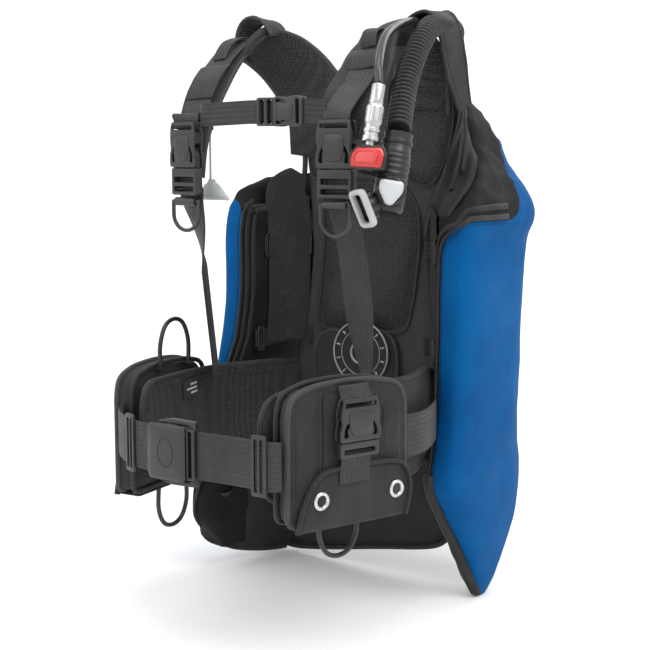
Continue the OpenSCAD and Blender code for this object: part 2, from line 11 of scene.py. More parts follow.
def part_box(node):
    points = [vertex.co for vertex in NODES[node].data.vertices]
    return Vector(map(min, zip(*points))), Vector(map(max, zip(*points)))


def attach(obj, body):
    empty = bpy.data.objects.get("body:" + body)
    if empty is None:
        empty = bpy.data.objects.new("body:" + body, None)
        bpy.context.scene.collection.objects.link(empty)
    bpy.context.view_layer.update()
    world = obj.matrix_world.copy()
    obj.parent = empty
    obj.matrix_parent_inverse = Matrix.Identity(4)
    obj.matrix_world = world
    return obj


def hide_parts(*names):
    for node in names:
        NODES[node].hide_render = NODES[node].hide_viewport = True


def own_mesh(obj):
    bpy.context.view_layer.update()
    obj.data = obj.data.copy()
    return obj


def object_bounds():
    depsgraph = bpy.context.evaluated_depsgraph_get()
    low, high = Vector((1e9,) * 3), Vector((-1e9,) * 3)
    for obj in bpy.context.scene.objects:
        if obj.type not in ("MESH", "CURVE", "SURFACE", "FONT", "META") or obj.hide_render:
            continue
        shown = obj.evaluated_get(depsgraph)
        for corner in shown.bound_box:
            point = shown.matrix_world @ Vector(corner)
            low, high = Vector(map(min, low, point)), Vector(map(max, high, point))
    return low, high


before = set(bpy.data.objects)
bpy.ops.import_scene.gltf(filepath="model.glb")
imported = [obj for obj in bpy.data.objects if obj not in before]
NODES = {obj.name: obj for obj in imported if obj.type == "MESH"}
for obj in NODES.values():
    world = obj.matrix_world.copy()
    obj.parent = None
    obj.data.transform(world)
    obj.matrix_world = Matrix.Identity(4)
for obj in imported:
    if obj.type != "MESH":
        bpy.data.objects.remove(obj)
CAD_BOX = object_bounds()
scene = bpy.context.scene

# The design's own millimetres, as in the CAD: X to the wearer's left, Y to the tank, Z up
_pad, _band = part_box("back_pad"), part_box("tank_band")
ORIGIN = Vector((0, _pad[1].y - 0.018, (_band[0].z + _band[1].z) / 2 - 0.300))


def at(p):
    """A design point, in millimetres, as a point of the row frame in metres."""
    return Vector((float(p[0]), float(p[1]), float(p[2]))) * 0.001 + ORIGIN


def V(*p):
    return np.array(p, float)


# ---------------------------------------------------------------- materials
class Nodes:
    """Short calls for building one material's node tree."""

    def __init__(self, name):
        self.mat = bpy.data.materials.new(name)
        self.mat.use_nodes = True
        self.tree = self.mat.node_tree
        self.bsdf = self.tree.nodes["Principled BSDF"]
        self.coord = self.tree.nodes.new("ShaderNodeTexCoord")

    def add(self, kind, inputs=None, **settings):
        node = self.tree.nodes.new(kind)
        for key, value in settings.items():
            setattr(node, key, value)
        for key, value in (inputs or {}).items():
            if isinstance(value, bpy.types.NodeSocket):
                self.tree.links.new(value, node.inputs[key])
            else:
                node.inputs[key].default_value = value
        return node

    def math(self, op, a, b=0.0, c=0.0):
        return self.add("ShaderNodeMath", {0: a, 1: b, 2: c}, operation=op).outputs[0]

    def wave(self, scale, direction, vector=None, distortion=0.0):
        return self.add("ShaderNodeTexWave", {"Vector": vector or self.coord.outputs["Object"],
                                              "Scale": scale,
                        "Distortion": distortion}, bands_direction=direction).outputs["Fac"]

    def noise(self, scale, detail=3.0, vector=None):
        return self.add("ShaderNodeTexNoise", {"Vector": vector or self.coord.outputs["Object"],
                                               "Scale": scale,
                        "Detail": detail}).outputs["Fac"]

    def remap(self, value, a, b, c, d):
        return self.add("ShaderNodeMapRange", {"Value": value, "From Min": a, "From Max": b, "To Min": c,
                        "To Max": d}).outputs["Result"]

    def mix(self, fac, a, b):
        node = self.add("ShaderNodeMix", data_type="RGBA")
        for index, value in ((0, fac), (6, a), (7, b)):
            if isinstance(value, bpy.types.NodeSocket):
                self.tree.links.new(value, node.inputs[index])
            else:
                node.inputs[index].default_value = (*value, 1) if index else value
        return node.outputs[2]

    def finish(self, colour, rough, height=None, depth=0.0004, **constants):
        if isinstance(colour, bpy.types.NodeSocket):
            self.tree.links.new(colour, self.bsdf.inputs["Base Color"])
        else:
            self.bsdf.inputs["Base Color"].default_value = (*colour, 1)
        if isinstance(rough, bpy.types.NodeSocket):
            self.tree.links.new(rough, self.bsdf.inputs["Roughness"])
        else:
            self.bsdf.inputs["Roughness"].default_value = rough
        if height is not None:
            bump = self.add("ShaderNodeBump", {"Height": height, "Distance": depth, "Strength": 0.9})
            self.tree.links.new(bump.outputs[0], self.bsdf.inputs["Normal"])
        for key, value in constants.items():
            self.bsdf.inputs[key.replace("_", " ")].default_value = value
        return self.mat


def weave_height(n, pitch):
    """Over-and-under threads along all three axes, so it needs no UVs."""
    scale = 0.31416 / pitch
    threads = [n.wave(scale, d) for d in "XYZ"]
    return n.math("ADD", n.math("ADD", threads[0], threads[1]), threads[2])


def woven(name, light, dark, pitch=0.0011, rough=0.72, sheen=0.25):
    n = Nodes(name)
    height = weave_height(n, pitch)
    cloud = n.math("ADD", n.noise(9, 4), n.math("MULTIPLY", n.noise(55, 3), 0.6))
    colour = n.mix(n.remap(cloud, 0.55, 1.05, 0, 1), dark, light)
    # Painted shade: the weave's low hollows are darkened towards near-black.
    colour = n.mix(n.remap(height, 0.6, 2.6, 0.35, 0.0), colour, (0.004, 0.004, 0.005))
    return n.finish(colour, n.remap(n.noise(30), 0.3, 0.7, rough - 0.08, rough + 0.1), height, 0.00025,
                    Sheen_Weight=sheen, Sheen_Roughness=0.4)


def mesh_fabric(name, light, dark, pitch=0.0031, rough=0.85):
    """Spacer mesh: rows of small holes, filled with a near-black that is painted shade."""
    n = Nodes(name)
    cells = n.add("ShaderNodeTexVoronoi", {"Vector": n.coord.outputs["Object"], "Scale": 1 / pitch,
                  "Randomness": 0.28}, feature="F1").outputs["Distance"]
    wall = n.remap(cells, 0.28, 0.62, 0, 1)
    cloud = n.remap(n.noise(12, 4), 0.3, 0.7, 0, 1)
    colour = n.mix(cloud, light, tuple(0.72 * x for x in light))
    # Painted shade: the holes take the near-black dark colour, the walls keep the mesh's own tone.
    colour = n.mix(wall, dark, colour)
    return n.finish(colour, rough, wall, 0.0008, Sheen_Weight=0.05, Sheen_Roughness=0.5)


def ribbed(name, light, dark, rough=0.62):
    """Webbing. Its UVs are metres: u across from the middle, v along."""
    n = Nodes(name)
    uv = n.coord.outputs["UV"]
    ribs = n.wave(0.31416 / 0.0021, "Y", uv)
    lines = n.wave(0.31416 / 0.0052, "X", uv)
    height = n.math("ADD", n.math("MULTIPLY", ribs, 0.55), n.math("MULTIPLY", lines, 0.9))
    cloud = n.remap(n.noise(25, 4), 0.3, 0.7, 0, 1)
    colour = n.mix(cloud, dark, light)
    # Painted shade: the grooves between the ribs and along the lines are darkened.
    colour = n.mix(n.remap(height, 0.2, 1.2, 0.5, 0.0), colour, tuple(0.35 * x for x in dark))
    return n.finish(colour, n.remap(n.noise(60), 0.3, 0.7, rough - 0.08, rough + 0.08), height, 0.0005,
                    Sheen_Weight=0.08, Sheen_Roughness=0.35)


def moulded_plastic(name, light, dark, rough=0.42, grain=900.0, depth=0.00012, metallic=0.0, coat=0.0):
    n = Nodes(name)
    fine = n.noise(grain, 2)
    cloud = n.remap(n.noise(14, 4), 0.35, 0.65, 0, 1)
    return n.finish(n.mix(cloud, dark, light), n.remap(n.noise(45, 4), 0.3, 0.7, rough - 0.07,
                                                       rough + 0.09), fine, depth,
                    Metallic=metallic, Coat_Weight=coat, Coat_Roughness=0.12)


def wing_fabric():
    """Blue coated nylon outside, black nylon inside. 'blue' is the distance from the seam, in millimetres."""
    n = Nodes("wing_fabric")
    seam = n.add("ShaderNodeAttribute", attribute_name="blue").outputs["Fac"]
    is_blue = n.remap(seam, -0.4, 0.4, 0, 1)
    height = weave_height(n, 0.0012)
    cloud = n.remap(n.math("ADD", n.noise(7, 4), n.math("MULTIPLY", n.noise(28, 3), 0.35)), 0.45, 0.9, 0, 1)
    blue = n.mix(cloud, (0.0002, 0.066, 0.225), (0.0003, 0.104, 0.318))
    # Painted shade: the blue's weave hollows are darkened towards a deep blue.
    blue = n.mix(n.remap(height, 0.6, 2.6, 0.16, 0.0), blue, (0.001, 0.05, 0.17))
    black = n.mix(cloud, (0.010, 0.010, 0.010), (0.026, 0.025, 0.024))
    rough = n.remap(n.noise(22, 4), 0.3, 0.7, 0.50, 0.66)
    return n.finish(n.mix(is_blue, black, blue), rough, height, 0.0002, Sheen_Weight=0.0,
                    Specular_IOR_Level=0.06)


def knurled(name, colour, rough):
    n = Nodes(name)
    n.finish(n.mix(n.remap(n.noise(40, 3), 0.3, 0.7, 0, 1), tuple(0.82 * x for x in colour), colour),
             n.remap(n.noise(120, 3), 0.3, 0.7, rough, rough + 0.16), n.noise(500, 2), 0.00006, Metallic=1.0)
    return n.mat


NYLON = woven("black_nylon", (0.023, 0.022, 0.021), (0.010, 0.010, 0.010), sheen=0.03)
NYLON_DARK = woven("dark_nylon", (0.020, 0.019, 0.018), (0.009, 0.009, 0.009), sheen=0.03)
CHARCOAL = woven("charcoal_nylon", (0.060, 0.058, 0.054), (0.042, 0.041, 0.039), 0.0009, 0.8, 0.05)
BINDING = woven("binding_tape", (0.050, 0.049, 0.047), (0.030, 0.030, 0.029), 0.0016, 0.66, 0.08)
BINDING_DARK = woven("dark_binding_tape", (0.028, 0.026, 0.024), (0.014, 0.013, 0.012), 0.0016, 0.7, 0.06)
MESH = mesh_fabric("air_mesh", (0.034, 0.033, 0.032), (0.003, 0.003, 0.003))
MESH_GREY = mesh_fabric("grey_mesh", (0.070, 0.069, 0.066), (0.008, 0.008, 0.008), 0.0027)
WEBBING = ribbed("webbing", (0.034, 0.033, 0.031), (0.019, 0.019, 0.018))
WEBBING_DARK = ribbed("dark_webbing", (0.026, 0.026, 0.025), (0.014, 0.014, 0.014))
PLASTIC = moulded_plastic("moulded_plastic", (0.028, 0.028, 0.028), (0.018, 0.018, 0.018), 0.36)
PLASTIC_DARK = moulded_plastic("dark_plastic", (0.014, 0.014, 0.014), (0.008, 0.008, 0.008), 0.34)
RUBBER = moulded_plastic("rubber", (0.020, 0.020, 0.020), (0.011, 0.011, 0.011), 0.36, 500, 0.00008)
RUBBER_LP = moulded_plastic("hose_rubber", (0.036, 0.036, 0.036), (0.024, 0.024, 0.024), 0.28, 700, 0.00005)
CHROME = knurled("chrome", (0.62, 0.63, 0.64), 0.20)
RED = moulded_plastic("red_plastic", (0.60, 0.022, 0.020), (0.42, 0.012, 0.013), 0.26, 300, 0.00003, 0, 0.5)
GREY = moulded_plastic("grey_plastic", (0.56, 0.58, 0.59), (0.48, 0.50, 0.51), 0.34, 400, 0.00004, 0, 0.25)
SILICONE = moulded_plastic("grey_silicone", (0.50, 0.51, 0.51), (0.40, 0.41, 0.41), 0.5, 300, 0.00005)
LABEL = woven("label_fabric", (0.60, 0.61, 0.62), (0.50, 0.51, 0.52), 0.0008, 0.7, 0.1)
WING = wing_fabric()
CORD_GREY = woven("pale_cord", (0.62, 0.63, 0.62), (0.46, 0.47, 0.46), 0.0009, 0.7, 0.2)


# ---------------------------------------------------------------- mesh helpers
def wobble(p, size, seed=0.0):
    """Smooth noise from -1 to 1, with waves about size millimetres long."""
    return noise.noise(Vector((p[0] / size + seed, p[1] / size - seed, p[2] / size)))


def mesh(name, verts, faces, mat, body="vest", uv=None, sharp=None, attrs=None, second=None,
         open_edges=False):
    """A piece from design points. second is (material, faces' numbers) for a second material."""
    me = bpy.data.meshes.new(name)
    me.from_pydata([at(v) for v in verts], [], [tuple(f) for f in faces])
    me.materials.append(mat)
    if second:
        me.materials.append(second[0])
        index = np.zeros(len(faces), np.int32)
        index[list(second[1])] = 1
        me.polygons.foreach_set("material_index", index)
    if uv is not None:
        layer = me.uv_layers.new(name="UVMap")
        loops = np.empty(len(me.loops), np.int32)
        me.loops.foreach_get("vertex_index", loops)
        layer.data.foreach_set("uv", (np.asarray(uv, float)[loops] * 0.001).ravel())
    for key, values in (attrs or {}).items():
        me.attributes.new(key, "FLOAT", "POINT").data.foreach_set("value", np.asarray(values, np.float32))
    if not open_edges:
        bm = bmesh.new()
        bm.from_mesh(me)
        bmesh.ops.recalc_face_normals(bm, faces=bm.faces)
        bm.to_mesh(me)
        bm.free()
    me.shade_smooth()
    if sharp:
        me.set_sharp_from_angle(angle=math.radians(sharp))
    ob = bpy.data.objects.new(name, me)
    scene.collection.objects.link(ob)
    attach(ob, body)
    return ob


def smooth(p, k):
    """A curve through the points of p with k steps between each two, as in the CAD."""
    p = [V(*q) for q in p]
    out = []
    for i in range(len(p) - 1):
        a, b, c, d = p[max(i - 1, 0)], p[i], p[i + 1], p[min(i + 2, len(p) - 1)]
        for j in range(k):
            t = j / k
            out.append(0.5 * (2 * b + (c - a) * t + (2 * a - 5 * b + 4 * c - d) * t * t
                              + (3 * b - a - 3 * c + d) * t ** 3))
    return np.array(out + [p[-1]])


def even(p, step):
    """The polyline p with points about step millimetres apart."""
    p = np.asarray(p, float)
    run = np.concatenate([[0], np.cumsum(np.linalg.norm(np.diff(p, axis=0), axis=1))])
    s = np.linspace(0, run[-1], max(2, int(round(run[-1] / step)) + 1))
    return np.stack([np.interp(s, run, p[:, i]) for i in range(p.shape[1])], 1)


def frames_of(p, across):
    """Tangent, across direction and normal at each point."""
    t = np.gradient(p, axis=0)
    t /= np.linalg.norm(t, axis=1)[:, None]
    a = np.asarray(across, float) * np.ones((len(p), 1))
    u = a - t * (a * t).sum(1)[:, None]
    u /= np.linalg.norm(u, axis=1)[:, None]
    return t, u, np.cross(t, u)


def profile(n, power):
    a = 2 * math.pi * np.arange(n) / n
    c, s = np.cos(a), np.sin(a)
    return np.stack([np.sign(c) * abs(c) ** (2 / power), np.sign(s) * abs(s) ** (2 / power)], 1)


FLAT, PAD, ROUND = profile(24, 6), profile(36, 3.4), profile(16, 2)


def sweep(name, path, across, half_w, half_t, shape, mat, body="vest", second=None, offset=None, rough=0.0,
          size=30.0,
          **more):
    """A closed form along a path. second is the material of the side that the normal points to."""
    t, u, n = frames_of(path, across)
    m, k = len(path), len(shape)
    w = half_w * np.ones(m) if np.isscalar(half_w) else np.interp(np.linspace(0, 1, m),
            np.linspace(0, 1, len(half_w)), half_w)
    h = half_t * np.ones(m) if np.isscalar(half_t) else np.interp(np.linspace(0, 1, m),
            np.linspace(0, 1, len(half_t)), half_t)
    run = np.concatenate([[0], np.cumsum(np.linalg.norm(np.diff(path, axis=0), axis=1))])
    verts, uv = [], []
    for i in range(m):
        for a, b in shape:
            p = path[i] + u[i] * a * w[i] + n[i] * b * h[i]
            if offset is not None:
                p = p + n[i] * offset(run[i] / run[-1], a)
            if rough:
                p = p + n[i] * rough * wobble(p, size) * (1 - a ** 6)
            verts.append(p)
            uv.append((a * w[i], run[i]))
    faces = [(i * k + j, i * k + (j + 1) % k, (i + 1) * k + (j + 1) % k, (i + 1) * k + j)
             for i in range(m - 1) for j in range(k)]
    picked = [i * k + j for i in range(m - 1) for j in range(k) if shape[j][1] + shape[(j + 1) % k][1] > 0.05]
    for i in (0, m - 1):
        verts.append(path[i])
        uv.append((0, run[i]))
        faces += [(len(verts) - 1, i * k + j, i * k + (j + 1) % k) for j in range(k)]
    return mesh(name, verts, faces, mat, body, uv, second=(second, picked) if second else None, **more)


def tube(name, path, r, mat, body="vest", flat=1.0, across=None, sides=None, **more):
    """A cord, piping or hose. flat squeezes it along the normal."""
    path = np.asarray(path, float)
    if across is None:
        mean = path[-1] - path[0]
        across = (0.31, 0.9, 0.27) if abs(mean[1]) < 0.8 * np.linalg.norm(mean) + 1e-6 else (0.9, 0.2, 0.35)
    return sweep(name, path, across, r, np.asarray(r) * flat if not np.isscalar(r) else r * flat,
                 profile(sides, 2) if sides else ROUND, mat, body, **more)


def fillet(points, r, n=5):
    """A closed outline with its corners rounded by about r. r may be one value for each corner."""
    pts = [V(*p) for p in points]
    out = []
    for i, p in enumerate(pts):
        a, b = pts[i - 1], pts[(i + 1) % len(pts)]
        la, lb = np.linalg.norm(a - p), np.linalg.norm(b - p)
        ri = min(r[i] if hasattr(r, "__len__") else r, 0.49 * la, 0.49 * lb)
        p0, p1 = p + (a - p) / la * ri, p + (b - p) / lb * ri
        out += [(1 - t) ** 2 * p0 + 2 * t * (1 - t) * p + t * t * p1 for t in np.linspace(0, 1, n)]
    return np.array(out)


def rect(x0, y0, x1, y1, r=1.5):
    return fillet([(x0, y0), (x1, y0), (x1, y1), (x0, y1)], r)


def circle(x, y, r, n=32):
    a = 2 * math.pi * np.arange(n) / n
    return np.stack([x + r * np.cos(a), y + r * np.sin(a)], 1)


def dense(outline, step):
    p = np.vstack([outline, outline[:1]])
    return even(p, step)[:-1]


def pillow(name, outline, place, front, back, mat, body="vest", rings=12, crown=(5.0, 0.45), rough=0.0,
           size=28.0,
           step=5.0, second=None, dents=None, **more):
    """A closed, crowned form on an outline. place(x, y, h) gives its design point.
    h is positive to the front."""
    line = dense(np.asarray(outline, float), step)
    c = line.mean(0)
    k = len(line)
    radii = [1 - (i / rings) ** 1.4 for i in range(rings)]
    verts, uv, faces = [], [], []

    def add(r, side, depth):
        for p in line:
            q = c + (p - c) * r
            h = side * depth * (1 - r ** crown[0]) ** crown[1]
            if side > 0 and dents is not None:
                h += dents(q[0], q[1]) * (1 - r ** 8)
            if rough:
                h += rough * wobble((q[0], q[1], 7.0 * side), size) * (1 - r ** 6)
            verts.append(place(q[0], q[1], h))
            uv.append(q)

    for r in radii:
        add(r, 1, front)
    for r in radii[1:]:
        add(r, -1, back)
    order = list(range(rings))
    for i in range(rings - 1):
        faces += [(i * k + j, i * k + (j + 1) % k, (i + 1) * k + (j + 1) % k, (i + 1) * k + j)
                  for j in range(k)]
    n_front = len(faces)
    for i in range(rings - 1):
        a, b = (0 if i == 0 else (rings + i - 1) * k), (rings + i) * k
        faces += [(a + j, b + j, b + (j + 1) % k, a + (j + 1) % k) for j in range(k)]
    for side, start in ((1, (rings - 1) * k), (-1, (2 * rings - 2) * k)):
        h = side * (front if side > 0 else back) + (dents(*c) if side > 0 and dents is not None else 0)
        verts.append(place(c[0], c[1], h))
        uv.append(c)
        if side > 0:
            faces += [(start + j, start + (j + 1) % k, len(verts) - 1) for j in range(k)]
        else:
            faces += [(start + (j + 1) % k, start + j, len(verts) - 1) for j in range(k)]
    picked = list(range(n_front, n_front + (rings - 1) * k)) + list(range(len(faces) - k, len(faces)))
    return mesh(name, verts, faces, mat, body, uv, second=(second, picked) if second else None, **more)


def moulded(name, loops, place, t, mat, body="vest", bevel=0.8, sharp=35):
    """A moulded plate: loops are its outline and holes, in the plane of place(x, y, h).
    t is its thickness about h = 0."""
    cu = bpy.data.curves.new(name, "CURVE")
    cu.dimensions, cu.fill_mode = "2D", "BOTH"
    bevel = min(bevel, t * 0.45)
    cu.extrude, cu.bevel_depth, cu.bevel_resolution, cu.offset = t / 2 - bevel, bevel, 2, -bevel
    for loop in loops:
        spline = cu.splines.new("POLY")
        spline.points.add(len(loop) - 1)
        for point, q in zip(spline.points, loop):
            point.co = (q[0], q[1], 0, 1)
        spline.use_cyclic_u = True
    ob = bpy.data.objects.new(name, cu)
    scene.collection.objects.link(ob)
    me = bpy.data.meshes.new_from_object(ob.evaluated_get(bpy.context.evaluated_depsgraph_get()))
    bpy.data.objects.remove(ob)
    bpy.data.curves.remove(cu)
    bm = bmesh.new()
    bm.from_mesh(me)
    bmesh.ops.remove_doubles(bm, verts=bm.verts, dist=0.001)
    bm.to_mesh(me)
    bm.free()
    verts = [place(*v.co) for v in me.vertices]
    faces = [tuple(p.vertices) for p in me.polygons]
    bpy.data.meshes.remove(me)
    return mesh(name, verts, faces, mat, body, sharp=sharp)


def lathe(name, points, place, mat, body="vest", n=40, sharp=40, ripple=None):
    """points are (radius, height) from bottom to top. ripple(angle, height) is added to the radius."""
    verts, faces = [], []
    for r, z in points:
        for j in range(n):
            a = 2 * math.pi * j / n
            q = r + (ripple(a, z) if ripple and r > 0.5 else 0)
            verts.append(place(q * math.cos(a), q * math.sin(a), z))
    for i in range(len(points) - 1):
        faces += [(i * n + j, i * n + (j + 1) % n, (i + 1) * n + (j + 1) % n, (i + 1) * n + j)
                  for j in range(n)]
    for i in (0, len(points) - 1):
        verts.append(place(0, 0, points[i][1]))
        faces += [(len(verts) - 1, i * n + j, i * n + (j + 1) % n) for j in range(n)]
    return mesh(name, verts, faces, mat, body, sharp=sharp)


def stitches(name, path, mat, body="vest", step=3.6, r=0.42, across=(0.3, 0.9, 0.3)):
    """A row of thread dashes along a path."""
    p = even(path, step)
    verts, faces = [], []
    for a, b in zip(p[:-1], p[1:]):
        d = b - a
        side = np.cross(d, across)
        if np.linalg.norm(side) < 1e-6:
            continue
        side = side / np.linalg.norm(side) * r
        up = np.cross(side, d)
        up = up / np.linalg.norm(up) * r
        i = len(verts)
        for f, s in ((0.14, 0.5), (0.3, 1.0), (0.7, 1.0), (0.86, 0.5)):
            q = a + d * f
            verts += [q + side * s, q + up * s, q - side * s, q - up * s]
        for ring in range(3):
            faces += [(i + ring * 4 + j, i + ring * 4 + (j + 1) % 4, i + ring * 4 + 4 + (j + 1) % 4,
                       i + ring * 4 + 4 + j)
                      for j in range(4)]
        faces += [(i + 3, i + 2, i + 1, i), (i + 12, i + 13, i + 14, i + 15)]
    return mesh(name, verts, faces, mat, body)


def turned(origin, axis_x, axis_y, axis_h):
    """place() for a flat piece: its own x, y and height directions."""
    o, x, y, h = V(*origin), V(*axis_x), V(*axis_y), V(*axis_h)
    return lambda a, b, c: o + x * a + y * b + h * c


# ---------------------------------------------------------------- camera, light, floor
AIM, AZIMUTH, ELEVATION, DISTANCE = (0, -89.6, 325), math.radians(34.2), math.radians(7.6), 1500.0
back = V(math.sin(AZIMUTH) * math.cos(ELEVATION), -math.cos(AZIMUTH) * math.cos(ELEVATION),
         math.sin(ELEVATION))
camera = bpy.data.objects.new("camera", bpy.data.cameras.new("camera"))
scene.collection.objects.link(camera)
camera.location = at(V(*AIM) + back * DISTANCE)
camera.rotation_mode = "QUATERNION"
camera.rotation_quaternion = Vector(-back).to_track_quat("-Z", "Y")
camera.data.sensor_width = 36.0
camera.data.lens = 36.0 * 1305 / 650
camera.data.clip_start, camera.data.clip_end = 0.05, 60
scene.camera = camera


def area_light(name, azimuth, elevation, distance, size, watts, aim=(0, -60, 320)):
    a, e = math.radians(azimuth), math.radians(elevation)
    d = V(math.sin(a) * math.cos(e), -math.cos(a) * math.cos(e), math.sin(e))
    light = bpy.data.lights.new(name, "AREA")
    light.shape, light.size, light.energy = "DISK", size, watts
    ob = bpy.data.objects.new(name, light)
    scene.collection.objects.link(ob)
    ob.location = at(V(*aim) + d * distance * 1000)
    ob.rotation_mode = "QUATERNION"
    ob.rotation_quaternion = Vector(-d).to_track_quat("-Z", "Y")


area_light("key", 75, 48, 2.4, 1.5, 24)
area_light("fill", -35, 30, 2.4, 2.0, 12)
area_light("top", 20, 80, 2.2, 1.6, 16)
area_light("rim", 170, 40, 2.4, 1.5, 14)
world = bpy.data.worlds.new("studio")
world.use_nodes = True
world.node_tree.nodes["Background"].inputs["Color"].default_value = (1.0, 1.0, 1.0, 1)
world.node_tree.nodes["Background"].inputs["Strength"].default_value = 0.9
scene.world = world
scene.view_settings.view_transform = "Standard"


def studio_floor():
    """A pale floor that curves up behind the object, away from the camera."""
    n = Nodes("floor_paint")
    n.finish(n.mix(n.noise(3, 4), (0.90, 0.90, 0.90), (0.93, 0.93, 0.93)),
             n.remap(n.noise(12), 0.3, 0.7, 0.8, 0.9),
             n.noise(200, 2), 0.00005)
    side, forward = V(math.cos(AZIMUTH), math.sin(AZIMUTH), 0), V(-math.sin(AZIMUTH), math.cos(AZIMUTH), 0)
    line = [(-4500, 0), (1300, 0)] + [(1300 + 900 * math.sin(a), 900 - 900 * math.cos(a))
                                     for a in np.linspace(0.1, math.pi / 2, 12)] + [(2200, 4200)]
    low = V(0, 0, CAD_BOX[0].z * 1000 - ORIGIN.z * 1000 - 0.5)
    verts = [low + forward * f + V(0, 0, h) + side * s for f, h in line for s in (-5000, 5000)]
    faces = [(2 * i, 2 * i + 1, 2 * i + 3, 2 * i + 2) for i in range(len(line) - 1)]
    me = bpy.data.meshes.new("studio_floor")
    me.from_pydata([at(v) for v in verts], [], faces)
    me.materials.append(n.mat)
    me.shade_smooth()
    ob = bpy.data.objects.new("studio_floor", me)
    scene.collection.objects.link(ob)


studio_floor()

# ---------------------------------------------------------------- the two free cords
LP_ROUTE = [(135, -191.7, 590.4), (129, -183, 610), (113, -145, 640), (103, -100, 657), (98, -60, 664),
            (95, -20, 667),
            (84, 25, 671), (66, 75, 666), (48, 116, 640), (38, 138, 602), (37, 142, 556)]
lp_path = smooth(LP_ROUTE, 8)
lp_hose = tube("low_pressure_hose", lp_path, 4.5, RUBBER_LP, sides=20)
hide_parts("lp_hose")
pull_path = np.array([(-101, -170, z) for z in np.linspace(569, 491, 16)], float)
pull_cord = tube("shoulder_pull_line", pull_path, 1.2, CORD_GREY, "shoulder_pull", sides=10)
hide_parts("shoulder_pull_cord")
TOGGLE = [(-25, 468.4), (25, 468.4), (25.4, 470.6), (11, 486), (6.5, 488), (5.5, 492), (-5.5, 492),
          (-6.5, 488), (-11, 486), (-25.4, 470.6)]
toggle = pillow("shoulder_pull_grip", fillet(TOGGLE, 1.4), lambda x, z, h: V(-99 + x, -170 - h, z), 4.6,
                4.6, GREY, "shoulder_pull", rings=8,
                crown=(2.2, 0.8), step=2.0)
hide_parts("shoulder_pull_toggle")

# ---------------------------------------------------------------- wing
LEFT_WING = [(0, 84, 566, 36, 28), (58, 84, 560, 35, 28), (90, 84, 528, 31, 32), (116, 68, 494, 27, 48),
             (140, 42, 464, 29, 74),
             (145, 32, 446, 31, 86), (143, 28, 420, 27, 80), (141, 26, 350, 25, 79), (139, 26, 262, 24, 79),
             (140, 20, 185, 24, 84), (142, 16, 152, 24, 89), (144, 22, 118, 23, 78), (147, 26, 75, 18, 56),
             (150, 22, 30, 10, 28), (150, 18, 4, 3, 9)]
RIGHT_WING = [(0, 84, 566, 36, 28), (-50, 84, 556, 35, 28), (-80, 84, 518, 28, 28), (-106, 72, 474, 26, 42),
              (-136, 28, 468, 24, 80),
              (-146, 18, 440, 28, 86), (-146, 16, 350, 27, 88), (-151, 8, 262, 24, 95),
              (-160, -1, 180, 23, 101),
              (-168, -6, 128, 22, 102), (-172, -14, 75, 18, 95), (-168, -36, 28, 8, 36)]
WING_N = 80


def wing_rings():
    """Rings from the wearer's right tip over the top to the left tip, with each ring's centre."""
    stations = smooth(RIGHT_WING[::-1] + LEFT_WING[1:], 7)
    c = stations[:, :3]
    t = np.gradient(c, axis=0)
    t[:, 1] = 0
    t /= np.linalg.norm(t, axis=1)[:, None]
    out = np.stack([-t[:, 2], 0 * t[:, 0], t[:, 0]], 1)
    shape = profile(WING_N, 3.4)
    rings = [c[i] + out[i] * (shape[:, :1] * stations[i, 3]) + V(0, -1, 0) * (shape[:, 1:] * stations[i, 4])
             for i in range(len(c))]
    return c, np.array(rings)


def around(ring):
    """Distance along a ring from its front point, outwards, for each of its points.
    Inner points are negative."""
    front = WING_N // 4
    run = np.zeros(WING_N)
    for step, count in ((-1, WING_N * 3 // 4), (1, WING_N // 4)):
        s = 0.0
        for k in range(1, count + 1):
            j, was = (front + step * k) % WING_N, (front + step * (k - 1)) % WING_N
            s += np.linalg.norm(ring[j] - ring[was])
            if step < 0 or k < count:
                run[j] = -step * s
    return run


def seam_at(side, z):
    """Where the blue starts, along the surface from the lobe's front point."""
    if side > 0:
        return float(np.interp(z, [20, 60, 150, 200], [-4, -6, -15, -14]))
    return float(np.interp(z, [60, 140, 300], [30, 16, -8]))


def seam_distance(side, s, z, y, s_rear):
    """Distance into the blue; it's below 0 on black. The blue covers the lobe and,
    behind a sloping line, the shoulder."""
    top, corner = (446.0, 42.0) if side > 0 else (466.0, 26.0)
    p, q = s - seam_at(side, z), top - z
    if p < corner and q < corner:
        lower = corner - math.hypot(corner - p, corner - q)
    else:
        lower = min(p, q)
    behind = min(y - 45.0 - max(z - 446.0, 0.0) * 0.62, z - 380.0)
    return min(max(lower, behind), s_rear - s)


